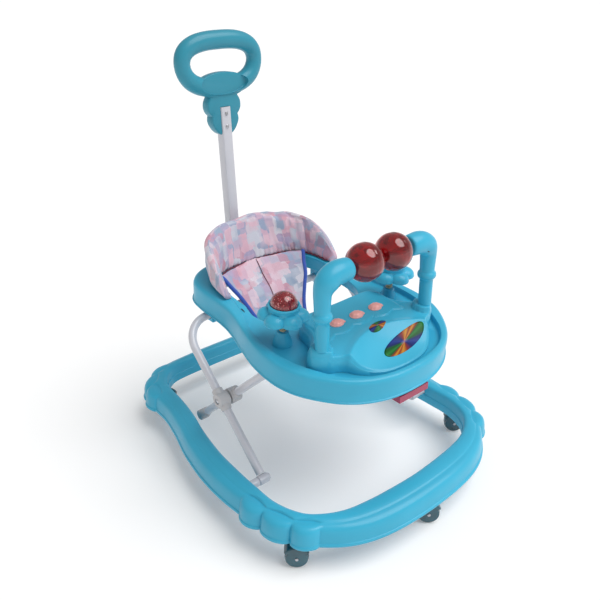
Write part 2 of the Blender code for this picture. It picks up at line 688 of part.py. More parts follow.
def build_pair_with_bridge(name, outline, inside, outside, bridge):
    """Two mirrored plates and the crosspiece that ties them together."""
    plate = extruded(name, outline, inside, outside, "aqua_plastic")
    tie = extruded("cut_tie_" + name, bridge, -inside - 0.001, inside + 0.001, None)
    mirror = extruded("cut_mirror_" + name, outline, -outside, -inside, None)
    add_boolean(plate, tie, "UNION")
    add_boolean(plate, mirror, "UNION")


def build_under_tray():
    bar_top = FRONT_BAR[1] + TUBE_R + 0.0006
    track = [(-0.186, bar_top), (-0.100, bar_top), (-0.100, tray_under(-0.100)),
             (-0.186, tray_under(-0.186))]
    tie = [(-0.112, bar_top + 0.0035), (-0.102, bar_top + 0.0035), (-0.102, bar_top + 0.0075),
           (-0.112, bar_top + 0.0075)]
    build_pair_with_bridge("front_track", track, 0.078, 0.096, tie)
    for side, tag in ((1, "r"), (-1, "l")):
        clip = block("rear_clip_" + tag, (0.018, 0.026, 0.064),
                     (side * 0.1385, REAR_BAR[0], REAR_BAR[1] + 0.0185), "aqua_plastic",
                     bevel=0.0015)
        bore = turned("cut_clip_" + tag, cylinder_profile(TUBE_R + 0.0004, -0.02, 0.02), None,
                      along_x(side * 0.1385, *REAR_BAR), 24)
        add_boolean(clip, bore)
    low_z = 0.2560
    lever = [(-0.284, low_z), (-0.262, low_z), (-0.250, 0.2640), (-0.088, 0.2760),
             (-0.088, 0.3000), (-0.094, 0.3000), (-0.094, 0.2820), (-0.252, 0.2700),
             (-0.262, 0.2715), (-0.284, 0.2690)]
    extruded("height_lever", lever, -0.036, 0.036, "latch_red")
    guide = [(-0.262, 0.2610), (-0.205, 0.2645), (-0.205, tray_under(-0.205)),
             (-0.262, tray_under(-0.262))]
    tie = [(-0.255, 0.2900), (-0.212, 0.2900), (-0.212, 0.2960), (-0.255, 0.2960)]
    build_pair_with_bridge("lever_guide", guide, 0.0365, 0.0435, tie)
    battery = [(-0.252, 0.2820), (-0.205, 0.2820), (-0.205, tray_under(-0.205)),
               (-0.252, tray_under(-0.252))]
    extruded("battery_box", battery, 0.052, 0.104, "aqua_plastic")


# ---------------------------------------------------------------- seat
BACK_PATH = [(0.1405, 0.072), (0.1395, 0.100), (0.1345, 0.132), (0.1220, 0.162),
             (0.0980, 0.188), (0.0660, 0.205), (0.0330, 0.2125), (0.0, 0.2145)]
BACK_TOP = [0.010, 0.045, 0.066, 0.079, 0.086, 0.090, 0.092, 0.093]
BACK_HALF = [0.006, 0.0085, 0.0095, 0.010, 0.010, 0.010, 0.010, 0.010]
BACK_FOOT = [(0.1335, 0.072), (0.1325, 0.095), (0.1295, 0.119), (0.1200, 0.141),
             (0.1010, 0.161), (0.0750, 0.1735), (0.0400, 0.1800), (0.0, 0.1820)]
SLING = [  # y, z, half width and forward bow of the seat sling, back to front
    (0.1650, 0.3590, 0.100, -0.030), (0.1480, 0.3400, 0.095, -0.024),
    (0.1240, 0.3180, 0.086, -0.016), (0.1090, 0.2950, 0.076, -0.010),
    (0.0860, 0.2580, 0.060, -0.004), (0.0480, 0.2240, 0.044, 0.0), (0.0080, 0.2140, 0.037, 0.0),
    (-0.0260, 0.2320, 0.040, 0.0), (-0.0470, 0.2700, 0.050, 0.004), (-0.0580, 0.3180, 0.060, 0.008)]
SLING_T = 0.005


def back_at(u):
    """Foot, top and outward direction, height and half thickness of the pad at u."""
    last = len(BACK_PATH) - 1
    ends = []
    for path in (BACK_FOOT, BACK_PATH):
        ends.append(Vector(half_curve_end(path, u)))
    x2, y2 = half_curve_end(BACK_PATH, min(u + 0.05, last))
    x1, y1 = half_curve_end(BACK_PATH, max(u - 0.05, 0.0))
    along = Vector((x2 - x1, y2 - y1)).normalized()
    out = Vector((-along.y, along.x))
    if out.dot(ends[1] - Vector((0.0, 0.06))) < 0:
        out = -out
    top = half_curve_end([(0.0, t) for t in BACK_TOP], u)[1]
    half = half_curve_end([(0.0, t) for t in BACK_HALF], u)[1]
    return ends[0], ends[1], out, top, half


def build_backrest():
    last = len(BACK_PATH) - 1
    order = [(1, i / 2) for i in range(2 * last + 1)]
    order += [(-1, i / 2) for i in reversed(range(2 * last))]
    shape = ((-1.0, 0.0), (-1.0, 0.20), (-1.0, 0.50), (-0.95, 0.80), (-0.60, 0.96), (0.0, 1.0),
             (0.60, 0.96), (0.95, 0.80), (1.0, 0.50), (1.0, 0.20), (1.0, 0.0))
    low = 0.0006
    rings = []
    for side, u in order:
        foot, head, out, top, half = back_at(u)
        ring = []
        for a, b in shape:
            lean = 1.0 - (1.0 - b) ** 1.5
            p = foot + (head - foot) * lean + out * half * a
            ring.append((side * p.x, p.y, low + (top - low) * b))
        rings.append(ring)
    bm = bmesh.new()
    skin(bm, rings, closed=False)
    add_object("seat_back", bm, "patchwork_fabric", TRAY)


def half_curve_end(points, u):
    """Open smooth curve whose far end is mirrored in X, for the seat back."""
    n = len(points)
    i = min(int(u), n - 2)
    before = points[max(i - 1, 0)]
    after = points[i + 2] if i + 2 < n else (-points[n - 2][0],) + tuple(points[n - 2][1:])
    return catmull(before, points[i], points[i + 1], after, u - i)


def build_sling():
    across = 6
    stations = []
    steps = 2 * (len(SLING) - 1)
    for i in range(steps + 1):
        u = i / 2
        y, z, half, bow = open_curve(SLING, u)
        y2, z2, _, _ = open_curve(SLING, min(u + 0.05, len(SLING) - 1))
        y1, z1, _, _ = open_curve(SLING, max(u - 0.05, 0.0))
        tangent = Vector((y2 - y1, z2 - z1)).normalized()
        normal = Vector((-tangent.y, tangent.x))
        rise = 0.018 * math.sin(math.pi * i / steps)
        upper = []
        lower = []
        for k in range(across + 1):
            t = 2.0 * k / across - 1.0
            lift = rise * t * t
            middle = y + bow * t * t
            upper.append((half * t, middle + normal.x * (SLING_T / 2),
                          z + normal.y * (SLING_T / 2) + lift))
            lower.append((half * t, middle - normal.x * (SLING_T / 2),
                          z - normal.y * (SLING_T / 2) + lift))
        stations.append(upper + list(reversed(lower)))
    bm = bmesh.new()
    skin(bm, stations, closed=False)
    add_object("seat_sling", bm, "patchwork_fabric")


# ---------------------------------------------------------------- push handle
LEAN = math.atan(POLE_LEAN)
HANDLE = Matrix.Translation((0.0, POLE_Y, POLE_Z0)) @ Matrix.Rotation(-LEAN, 4, "X")
LOOP_HALF_W = 0.0838
LOOP_HALF_H = 0.0438
LOOP_R = 0.0155          # side bars; the top and bottom bars are a little thicker
LOOP_SWELL = 0.0023
LOOP_TAPER = 0.13
LOOP_SHAPE = 0.74        # exponent of the loop's rounded rectangle
LOOP_MID = 0.4147        # loop centre above POLE_Z0 along the pole


def square_ring(half, z):
    return [(half, half, z), (-half, half, z), (-half, -half, z), (half, -half, z)]


def build_pole():
    low, high = -0.024, POLE_TOP - POLE_Z0
    bm = bmesh.new()
    outer, inner = POLE / 2, POLE / 2 - POLE_WALL
    loops = [square_ring(outer, low), square_ring(outer, high), square_ring(inner, high),
             square_ring(inner, low)]
    skin(bm, loops, closed=True)
    add_object("handle_pole", bm, "tube_enamel", HANDLE)
    low, high = -0.026, 0.034
    bm = bmesh.new()
    inner = POLE / 2 + 0.0004
    outer = inner + 0.0034
    loops = [square_ring(outer, low), square_ring(outer, high), square_ring(inner, high),
             square_ring(inner, low)]
    skin(bm, loops, closed=True)
    add_object("pole_socket", bm, "aqua_plastic", HANDLE)
    for i, z in enumerate((0.2945, 0.3200)):
        place = HANDLE @ Matrix.Translation((0.0, -POLE / 2 - GAP, z))
        turned("handle_screw_%d" % (i + 1),
               [(0.0, 0.0), (0.0040, 0.0), (0.0036, 0.0012), (0.0, 0.0018)], "steel",
               place @ Matrix.Rotation(math.pi / 2, 4, "X"), 16)


NECK_EDGE = (            # height from the loop's middle, half width: the scalloped neck
    (-0.136, 0.0110), (-0.133, 0.0170), (-0.126, 0.0238), (-0.117, 0.0292), (-0.109, 0.0318),
    (-0.102, 0.0312), (-0.098, 0.0304), (-0.093, 0.0345), (-0.087, 0.0378), (-0.079, 0.0390),
    (-0.070, 0.0376), (-0.060, 0.0320))
NECK_FRONT = -0.0085
NECK_BACK = 0.0150
WEB_MID = -0.040         # centre of the oval web, from the loop's middle
PANEL_MID = -0.0365      # centre of the shallow oval panel sunk into the lower bar
PANEL_HALF = (0.0535, 0.0205)


def build_grip():
    bm = bmesh.new()
    path = []
    radii = []
    count = 26
    for i in range(count):
        a = math.tau * i / count
        c, s = math.cos(a), math.sin(a)
        px = LOOP_HALF_W * math.copysign(abs(c) ** LOOP_SHAPE, c)
        pz = LOOP_HALF_H * math.copysign(abs(s) ** LOOP_SHAPE, s)
        radii.append(LOOP_R + LOOP_SWELL * abs(s))
        px *= 1.0 - LOOP_TAPER * max(-pz / LOOP_HALF_H, 0.0)
        path.append((px, 0.0, LOOP_MID + pz))
    sweep(bm, path, radii, 10, closed=True)
    grip = add_object("grip_loop", bm, "handle_plastic", HANDLE)
    neck_bm = bmesh.new()
    outline = [(w, LOOP_MID + z) for z, w in NECK_EDGE]
    outline += [(-w, LOOP_MID + z) for z, w in reversed(NECK_EDGE)]
    depths = ((NECK_FRONT, 0.93), (NECK_FRONT + 0.002, 1.0), (NECK_BACK - 0.002, 1.0),
              (NECK_BACK, 0.93))
    middle = LOOP_MID - 0.098
    rings = [[(x * k, y, middle + (z - middle) * k) for x, z in outline] for y, k in depths]
    skin(neck_bm, rings, closed=False)
    add_boolean(grip, add_object("cut_neck", neck_bm, None, HANDLE), "UNION")
    plate_bm = bmesh.new()
    low = LOOP_MID + WEB_MID
    oval = [(0.058 * math.cos(math.tau * i / 20), low + 0.0250 * math.sin(math.tau * i / 20))
            for i in range(20)]
    rings = [[(x * k, y, low + (z - low) * k) for x, z in oval]
             for y, k in ((-0.0085, 0.94), (-0.0070, 1.0), (0.0070, 1.0), (0.0085, 0.94))]
    skin(plate_bm, rings, closed=False)
    add_boolean(grip, add_object("cut_plate", plate_bm, None, HANDLE), "UNION")
    low = LOOP_MID + PANEL_MID
    panel_bm = bmesh.new()
    skin(panel_bm, [[(PANEL_HALF[0] * math.cos(math.tau * i / 20), y,
                      low + PANEL_HALF[1] * math.sin(math.tau * i / 20)) for i in range(20)]
                    for y in (-0.03, -0.0087)], closed=False)
    add_boolean(grip, add_object("cut_panel", panel_bm, None, HANDLE))
    slot = POLE / 2 + GAP
    top = POLE_TOP - POLE_Z0 + GAP
    add_boolean(grip, block("cut_recess", (2 * slot, 0.05, 0.2),
                            (0.0, slot - 0.025, top - 0.1), None, HANDLE))


def main():
    clear_scene()
    build_ring()
    for name, (x, y, heading) in CASTERS.items():
        build_caster(name, x, y, heading)
    build_legs()
    build_tray()
    build_console()
    build_arch()
    for side, tag in ((1, "r"), (-1, "l")):
        build_flower(side, tag)
    build_under_tray()
    build_backrest()
    build_sling()
    build_pole()
    build_grip()


main()
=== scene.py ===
"""Looks of the baby walker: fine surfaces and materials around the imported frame."""
import math

import bmesh
import bpy
from mathutils import Matrix, Vector, noise


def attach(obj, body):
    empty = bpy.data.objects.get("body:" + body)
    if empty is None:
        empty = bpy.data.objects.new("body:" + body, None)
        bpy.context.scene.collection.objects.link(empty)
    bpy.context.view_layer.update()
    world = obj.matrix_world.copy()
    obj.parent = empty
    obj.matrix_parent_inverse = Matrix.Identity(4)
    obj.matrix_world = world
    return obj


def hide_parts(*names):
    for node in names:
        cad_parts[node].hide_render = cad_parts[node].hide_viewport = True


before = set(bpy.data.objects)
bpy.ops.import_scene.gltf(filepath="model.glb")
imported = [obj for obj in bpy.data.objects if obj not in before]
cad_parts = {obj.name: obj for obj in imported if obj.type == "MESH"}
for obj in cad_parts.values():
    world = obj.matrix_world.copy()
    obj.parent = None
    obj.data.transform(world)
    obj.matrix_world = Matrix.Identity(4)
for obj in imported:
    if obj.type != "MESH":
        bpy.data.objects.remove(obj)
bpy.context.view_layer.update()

# ---------------------------------------------------------------- shared sizes, metres
LIP_Z = 0.052
WHEEL_R = 0.021
WHEEL_W = 0.014
CASTER_TRAIL = 0.012
CASTERS = {
    "front": (0.0, -0.3215, -40.0),
    "front_r": (0.253, -0.178, -40.0),
    "front_l": (-0.2315, -0.2585, 140.0),
    "rear_r": (0.18, 0.3115, -40.0),
    "rear_l": (-0.18, 0.3115, -40.0),
}
SIDES = ((1, "r"), (-1, "l"))
TUBE_R = 0.008
FOOT = (-0.114, 0.078)
LEG_HALF = 0.1656
LEG_ANGLE = math.radians(42.6)
OUTER_X = 0.207
INNER_X = 0.18
OUTER_BEND = 0.055
INNER_BEND = 0.036
TRAY_Z = 0.3467
TRAY_TILT = math.atan(0.1)
SKIRT = 0.045
WALL = 0.0028
RECESS = 0.01
POST = (0.128, -0.188)
AXLE_Z = 0.487
BALL_R = 0.0338
BALL_WALL = 0.0022
BALL_BORE = 0.0031
GAP = 0.0003             # clearance between touching pieces
FLOWER = (0.134, -0.09)
FLOWER_H = 0.045
BUTTON_PITCH = 0.048
BUTTON_Y = -0.136
POLE = 0.0228
POLE_Y = 0.2445
POLE_Z0 = 0.34
POLE_LEAN = 0.0383
POLE_TOP = 0.673
HUB = (FOOT[0] + LEG_HALF * math.cos(LEG_ANGLE), FOOT[1] + LEG_HALF * math.sin(LEG_ANGLE))
REAR_BAR = (HUB[0] + LEG_HALF * math.cos(LEG_ANGLE), HUB[1] + LEG_HALF * math.sin(LEG_ANGLE))
INNER_FOOT = (REAR_BAR[0], FOOT[1])
FRONT_BAR = (FOOT[0], REAR_BAR[1])
TRAY = Matrix.Translation((0.0, 0.0, TRAY_Z)) @ Matrix.Rotation(TRAY_TILT, 4, "X")
HANDLE = (Matrix.Translation((0.0, POLE_Y, POLE_Z0))
          @ Matrix.Rotation(-math.atan(POLE_LEAN), 4, "X"))


# ---------------------------------------------------------------- node material helpers
class Nodes:
    """Small wrapper that adds and links shader nodes by name."""

    def __init__(self, name):
        self.mat = bpy.data.materials.new(name)
        self.mat.use_nodes = True
        self.tree = self.mat.node_tree
        self.bsdf = self.tree.nodes["Principled BSDF"]

    def add(self, kind, **values):
        node = self.tree.nodes.new(kind)
        for key, value in values.items():
            if key in node.inputs:
                node.inputs[key].default_value = value
            else:
                setattr(node, key, value)
        return node

    def link(self, a, out, b, into):
        self.tree.links.new(a.outputs[out], b.inputs[into])

    def texture(self, kind, **values):
        """A texture node on the object's own coordinates."""
        node = self.add("ShaderNodeTex" + kind, **values)
        self.link(self.add("ShaderNodeTexCoord"), "Object", node, "Vector")
        return node

    def ramp(self, source, out, stops, mode="LINEAR"):
        node = self.tree.nodes.new("ShaderNodeValToRGB")
        node.color_ramp.interpolation = mode
        elements = node.color_ramp.elements
        while len(elements) < len(stops):
            elements.new(0.5)
        for element, (position, colour) in zip(elements, stops):
            element.position = position
            element.color = (*colour, 1.0)
        self.link(source, out, node, "Fac")
        return node

    def setup(self, **values):
        for key, value in values.items():
            self.bsdf.inputs[key.replace("_", " ")].default_value = value

    def bump(self, source, out, strength, distance, before=None):
        node = self.add("ShaderNodeBump", Strength=strength, Distance=distance)
        self.link(source, out, node, "Height")
        if before is not None:
            self.link(before, "Normal", node, "Normal")
        self.link(node, "Normal", self.bsdf, "Normal")
        return node


def plastic(name, colour, roughness=0.3, coat=0.25, vary=0.06, grain=0.0001, specular=0.5):
    """Moulded plastic: faint colour drift, fine moulding grain and slightly worn gloss."""
    n = Nodes(name)
    drift = n.texture("Noise", Scale=6.0, Detail=3.0, Roughness=0.55)
    dark = tuple(c * (1.0 - vary) for c in colour)
    light = tuple(min(c * (1.0 + vary), 1.0) for c in colour)
    tone = n.ramp(drift, "Fac", ((0.3, dark), (0.7, light)))
    n.link(tone, "Color", n.bsdf, "Base Color")
    scuff = n.texture("Noise", Scale=55.0, Detail=5.0, Roughness=0.7)
    gloss = n.add("ShaderNodeMapRange")
    gloss.inputs["To Min"].default_value = max(roughness - 0.06, 0.02)
    gloss.inputs["To Max"].default_value = roughness + 0.08
    n.link(scuff, "Fac", gloss, "Value")
    n.link(gloss, "Result", n.bsdf, "Roughness")
    fine = n.texture("Noise", Scale=900.0, Detail=2.0)
    first = n.bump(fine, "Fac", 0.12, grain)
    wavy = n.texture("Noise", Scale=22.0, Detail=1.0)
    n.bump(wavy, "Fac", 0.1, 0.0012, first)
    n.setup(Coat_Weight=coat, Coat_Roughness=0.1, IOR=1.5, Specular_IOR_Level=specular)
    return n.mat


def enamel(name, colour):
    n = Nodes(name)
    drift = n.texture("Noise", Scale=12.0, Detail=4.0)
    tone = n.ramp(drift, "Fac", ((0.3, tuple(c * 0.95 for c in colour)), (0.75, colour)))
    n.link(tone, "Color", n.bsdf, "Base Color")
    peel = n.texture("Noise", Scale=320.0, Detail=2.0)
    n.bump(peel, "Fac", 0.15, 0.0002)
    n.setup(Roughness=0.28, Coat_Weight=0.5, Coat_Roughness=0.1, Metallic=0.0)
    return n.mat


def steel(name):
    n = Nodes(name)
    marks = n.texture("Noise", Scale=260.0, Detail=3.0)
    tone = n.ramp(marks, "Fac", ((0.3, (0.34, 0.34, 0.36)), (0.7, (0.62, 0.62, 0.65))))
    n.link(tone, "Color", n.bsdf, "Base Color")
    n.bump(marks, "Fac", 0.2, 0.0002)
    n.setup(Metallic=1.0, Roughness=0.3)
    return n.mat


def tinted_clear(name, colour, transmission, roughness=0.06):
    """Tinted see-through plastic with faint flow lines."""
    n = Nodes(name)
    flow = n.texture("Noise", Scale=30.0, Detail=3.0, Distortion=0.6)
    tone = n.ramp(flow, "Fac", ((0.25, tuple(c * 0.7 for c in colour)),
                                (0.75, tuple(min(c * 1.25, 1.0) for c in colour))))
    n.link(tone, "Color", n.bsdf, "Base Color")
    n.bump(flow, "Fac", 0.06, 0.0008)
    n.setup(Roughness=roughness, IOR=1.49, Coat_Weight=0.6, Coat_Roughness=0.04,
            Transmission_Weight=transmission)
    return n.mat


def glitter(name, colour):
    """Red dome full of small bright flakes."""
    n = Nodes(name)
    cells = n.texture("Voronoi", Scale=620.0)
    flakes = n.add("ShaderNodeSeparateColor")
    n.link(cells, "Color", flakes, "Color")
    tone = n.ramp(flakes, "Red", ((0.0, tuple(c * 0.45 for c in colour)), (0.75, colour),
                                  (0.92, tuple(min(c * 1.5, 1.0) for c in colour)),
                                  (0.985, (0.6, 0.22, 0.22))))
    n.link(tone, "Color", n.bsdf, "Base Color")
    shine = n.ramp(flakes, "Green", ((0.0, (0.0, 0.0, 0.0)), (0.9, (0.05, 0.05, 0.05)),
                                     (0.98, (0.6, 0.6, 0.6))))
    n.link(shine, "Color", n.bsdf, "Metallic")
    n.bump(flakes, "Blue", 0.35, 0.0004)
    n.setup(Roughness=0.22, Coat_Weight=1.0, Coat_Roughness=0.03)
    return n.mat


PATCH_COLOURS = ((0.0, (0.6, 0.3, 0.38)), (0.14, (0.34, 0.4, 0.55)),
                 (0.3, (0.72, 0.45, 0.54)), (0.44, (0.6, 0.6, 0.68)),
                 (0.58, (0.44, 0.36, 0.52)), (0.7, (0.74, 0.54, 0.62)),
                 (0.84, (0.32, 0.4, 0.52)), (0.92, (0.7, 0.68, 0.74)))


def patchwork(name):
    """Cloth printed with soft overlapping blocks, in a plain weave."""
    n = Nodes(name)
    uv = n.add("ShaderNodeAttribute", attribute_name="cloth")
    layers = []
    for scale, shift in (((52.0, 33.0, 1.0), (0.0, 0.0, 0.0)), ((40.0, 46.0, 1.0), (3.3, 1.7, 0.0))):
        place = n.add("ShaderNodeMapping", Scale=scale, Location=shift)
        n.link(uv, "Vector", place, "Vector")
        wob = n.add("ShaderNodeTexNoise", Scale=2.2, Detail=2.0)
        n.link(place, "Vector", wob, "Vector")
        add = n.add("ShaderNodeVectorMath", operation="MULTIPLY_ADD")
        add.inputs[1].default_value = (0.35, 0.35, 0.0)
        n.link(wob, "Color", add, 0)
        n.tree.links.new(place.outputs["Vector"], add.inputs[2])
        cells = n.add("ShaderNodeTexVoronoi", distance="CHEBYCHEV", Scale=1.0, Randomness=0.75)
        n.link(add, "Vector", cells, "Vector")
        part = n.add("ShaderNodeSeparateColor")
        n.link(cells, "Color", part, "Color")
        layers.append((part, cells, n.ramp(part, "Red", PATCH_COLOURS, "CONSTANT")))
    mix = n.add("ShaderNodeMix", data_type="RGBA", blend_type="MIX")
    soft = n.add("ShaderNodeMapRange")
    soft.inputs["From Min"].default_value = 0.2
    soft.inputs["From Max"].default_value = 0.62
    soft.inputs["To Min"].default_value = 0.62
    soft.inputs["To Max"].default_value = 0.1
    n.link(layers[1][1], "Distance", soft, "Value")
    n.link(soft, "Result", mix, "Factor")
    n.tree.links.new(layers[0][2].outputs["Color"], mix.inputs["A"])
    n.tree.links.new(layers[1][2].outputs["Color"], mix.inputs["B"])
    weave_place = n.add("ShaderNodeMapping", Scale=(1.0, 1.0, 1.0))
    n.link(uv, "Vector", weave_place, "Vector")
    waves = []
    for direction in ("X", "Y"):
        wave = n.add("ShaderNodeTexWave", bands_direction=direction, Scale=260.0)
        n.link(weave_place, "Vector", wave, "Vector")
        waves.append(wave)
    weave = n.add("ShaderNodeMath", operation="MAXIMUM")
    n.link(waves[0], "Fac", weave, 0)
    n.link(waves[1], "Fac", weave, 1)
    shade = n.add("ShaderNodeMix", data_type="RGBA", blend_type="MULTIPLY")
    shade.inputs["Factor"].default_value = 0.2
    n.tree.links.new(mix.outputs["Result"], shade.inputs["A"])
    n.tree.links.new(weave.outputs["Value"], shade.inputs["B"])
    n.tree.links.new(shade.outputs["Result"], n.bsdf.inputs["Base Color"])
    first = n.bump(weave, "Value", 0.35, 0.0002)
    crease = n.add("ShaderNodeTexNoise", Scale=26.0, Detail=4.0, Distortion=0.8)
    n.link(uv, "Vector", crease, "Vector")
    n.bump(crease, "Fac", 0.45, 0.0035, first)
    n.setup(Roughness=0.78, Sheen_Weight=0.25, Sheen_Roughness=0.5)
    return n.mat


def woven(name, colour):
    """Narrow binding tape or thread with a fine rib."""
    n = Nodes(name)
    rib = n.texture("Wave", Scale=300.0, Distortion=1.0)
    tone = n.ramp(rib, "Fac", ((0.0, tuple(c * 0.7 for c in colour)), (1.0, colour)))
    n.link(tone, "Color", n.bsdf, "Base Color")
    n.bump(rib, "Fac", 0.4, 0.0002)
    n.setup(Roughness=0.7, Sheen_Weight=0.3)
    return n.mat


def sticker(name, angle_shift=0.0):
    """Glossy oval print of radiating coloured wedges, with no lettering."""
    n = Nodes(name)
    uv = n.add("ShaderNodeAttribute", attribute_name="print")
    part = n.add("ShaderNodeSeparateXYZ")
    n.link(uv, "Vector", part, "Vector")
    angle = n.add("ShaderNodeMath", operation="ARCTAN2")
    n.link(part, "Y", angle, 0)
    n.link(part, "X", angle, 1)
    turn = n.add("ShaderNodeMath", operation="MULTIPLY_ADD")
    turn.inputs[1].default_value = 1.0 / math.tau
    turn.inputs[2].default_value = 0.5 + angle_shift
    n.link(angle, "Value", turn, 0)
    wrap = n.add("ShaderNodeMath", operation="FRACT")
    n.link(turn, "Value", wrap, 0)
    blue, green = (0.003, 0.01, 0.1), (0.003, 0.085, 0.012)
    red, gold = (0.22, 0.015, 0.008), (0.55, 0.24, 0.02)
    leaf, sky = (0.015, 0.18, 0.03), (0.008, 0.03, 0.22)
    half_turn = ((0.0, green), (0.06, leaf), (0.11, green), (0.14, red), (0.17, gold),
                 (0.2, red), (0.23, gold), (0.27, red), (0.31, blue), (0.37, sky),
                 (0.43, blue), (0.47, green))
    tone = n.ramp(wrap, "Value", half_turn + tuple((0.5 + p, c) for p, c in half_turn))
    dist = n.add("ShaderNodeVectorMath", operation="LENGTH")
    n.link(uv, "Vector", dist, 0)
    centre = n.ramp(dist, "Value", ((0.02, (0.35, 0.35, 0.35)), (0.22, (0.0, 0.0, 0.0))))
    mix = n.add("ShaderNodeMix", data_type="RGBA")
    mix.inputs["B"].default_value = (0.45, 0.3, 0.62, 1.0)
    n.link(centre, "Color", mix, "Factor")
    n.tree.links.new(tone.outputs["Color"], mix.inputs["A"])
    n.tree.links.new(mix.outputs["Result"], n.bsdf.inputs["Base Color"])
    n.setup(Roughness=0.4, Coat_Weight=0.1, Coat_Roughness=0.08, Specular_IOR_Level=0.15)
    return n.mat


def dark_recess(name):
    """Deep shade with a little dust, for slots and holes."""
    n = Nodes(name)
    dust = n.texture("Noise", Scale=80.0)
    tone = n.ramp(dust, "Fac", ((0.3, (0.004, 0.03, 0.05)), (0.8, (0.012, 0.07, 0.11))))
    n.link(tone, "Color", n.bsdf, "Base Color")
    n.setup(Roughness=0.6)
    return n.mat


MAT = {
    "aqua": plastic("aqua_moulded", (0.045, 0.42, 0.62), 0.34, 0.12, specular=0.28),
    "handle": plastic("handle_moulded", (0.035, 0.27, 0.37), 0.34, 0.1, specular=0.28),
    "tube": enamel("white_enamel", (0.6, 0.6, 0.65)),
    "hub": plastic("grey_hub", (0.52, 0.51, 0.52), 0.45, 0.1),
    "steel": steel("plain_steel"),
    "caster": tinted_clear("caster_teal", (0.01, 0.1, 0.14), 0.25, 0.25),
    "ball": tinted_clear("ball_crimson", (0.52, 0.004, 0.012), 0.8, 0.02),
    "rattle": plastic("rattle_bead", (0.3, 0.01, 0.02), 0.3, 0.2),
    "glitter": glitter("glitter_dome", (0.24, 0.004, 0.01)),
    "button": plastic("button_salmon", (0.95, 0.42, 0.38), 0.38, 0.2),
    "latch": plastic("latch_crimson", (0.34, 0.035, 0.09), 0.4, 0.15),
    "stem": plastic("stem_beige", (0.46, 0.38, 0.24), 0.5, 0.1),
    "cloth": patchwork("patchwork_cloth"),
    "piping": woven("piping_blue", (0.03, 0.1, 0.5)),
    "seam": woven("seam_maroon", (0.16, 0.01, 0.04)),
    "print": sticker("oval_print", 0.05),
    "print_small": sticker("small_print", 0.37),
    "slot": dark_recess("slot_shadow"),
}


# ---------------------------------------------------------------- mesh helpers
def piece(name, bm, look, body, stands_for=(), matrix=None, sharp=38.0, bevel=0.0):
    """Finish a bmesh as a visible piece that rides on a body."""
    bmesh.ops.remove_doubles(bm, verts=bm.verts, dist=1e-6)
    bmesh.ops.recalc_face_normals(bm, faces=bm.faces)
    if matrix is not None:
        bmesh.ops.transform(bm, matrix=matrix, verts=bm.verts)
    mesh = bpy.data.meshes.new(name)
    bm.to_mesh(mesh)
    bm.free()
    mesh.shade_smooth()
    mesh.set_sharp_from_angle(angle=math.radians(sharp))
    obj = bpy.data.objects.new(name, mesh)
    bpy.context.scene.collection.objects.link(obj)
    mesh.materials.append(MAT[look])
    if bevel:
        mod = obj.modifiers.new("round", "BEVEL")
        mod.width = bevel
        mod.segments = 3
        mod.limit_method = "ANGLE"
        mod.angle_limit = math.radians(35.0)
    if stands_for:
        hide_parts(*stands_for)
    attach(obj, body)
    return obj


def skin(stations, closed):
    """A new mesh stretched over equal rings of points."""
    bm = bmesh.new()
    rows = [[bm.verts.new(p) for p in ring] for ring in stations]
    count = len(rows[0])
    last = len(rows) if closed else len(rows) - 1
    for i in range(last):
        a, b = rows[i], rows[(i + 1) % len(rows)]
        for k in range(count):
            m = (k + 1) % count
            bm.faces.new((a[k], a[m], b[m], b[k]))
    if not closed:
        bm.faces.new(list(reversed(rows[0])))
        bm.faces.new(rows[-1])
    return bm


def lathe(profile, segments, matrix=Matrix.Identity(4)):
    """A new mesh turned round Z from points given as radius and height."""
    bm = bmesh.new()

    def ring(r, z):
        if r < 1e-7:
            return [bm.verts.new(matrix @ Vector((0.0, 0.0, z)))]
        return [bm.verts.new(matrix @ Vector((r * math.cos(math.tau * i / segments),
                                              r * math.sin(math.tau * i / segments), z)))
                for i in range(segments)]
    rows = [ring(r, z) for r, z in profile]
    pairs = list(zip(rows, rows[1:])) + ([] if len(rows[0]) == 1 else [(rows[-1], rows[0])])
    for a, b in pairs:
        for i in range(segments):
            j = (i + 1) % segments
            if len(a) == 1:
                bm.faces.new((a[0], b[i], b[j]))
            elif len(b) == 1:
                bm.faces.new((a[i], b[0], a[j]))
            else:
                bm.faces.new((a[i], b[i], b[j], a[j]))
    return bm


def round_profile(points, radius, steps=4):
    """Replace each inner corner of a profile by a small arc-like fillet."""
    out = [points[0]]
    for p0, p1, p2 in zip(points, points[1:], points[2:]):
        a = Vector(p0) - Vector(p1)
        b = Vector(p2) - Vector(p1)
        r = min(radius, a.length * 0.45, b.length * 0.45)
        start = Vector(p1) + a.normalized() * r
        end = Vector(p1) + b.normalized() * r
        for i in range(steps + 1):
            t = i / steps
            q = start * (1 - t) ** 2 + Vector(p1) * 2 * t * (1 - t) + end * t * t
            out.append((q.x, q.y))
    out.append(points[-1])
    return out


def along_x(x, y, z, side=1):
    return Matrix.Translation((x, y, z)) @ Matrix.Rotation(side * math.pi / 2, 4, "Y")


def catmull(p0, p1, p2, p3, f):
    return tuple(0.5 * (2 * b + (c - a) * f + (2 * a - 5 * b + 4 * c - d) * f * f
                        + (3 * b - a - 3 * c + d) * f ** 3)
                 for a, b, c, d in zip(p0, p1, p2, p3))


def mirrored(p):
    return (-p[0],) + tuple(p[1:])


def half_curve(points, u, free=False):
    """Point on the right half of a symmetric outline; a free first end isn't mirrored."""
    n = len(points)
    i = min(int(u), n - 2)
    first = points[0] if free else mirrored(points[1])
    before = points[i - 1] if i > 0 else first
    after = points[i + 2] if i + 2 < n else mirrored(points[n - 2])
    return catmull(before, points[i], points[i + 1], after, u - i)


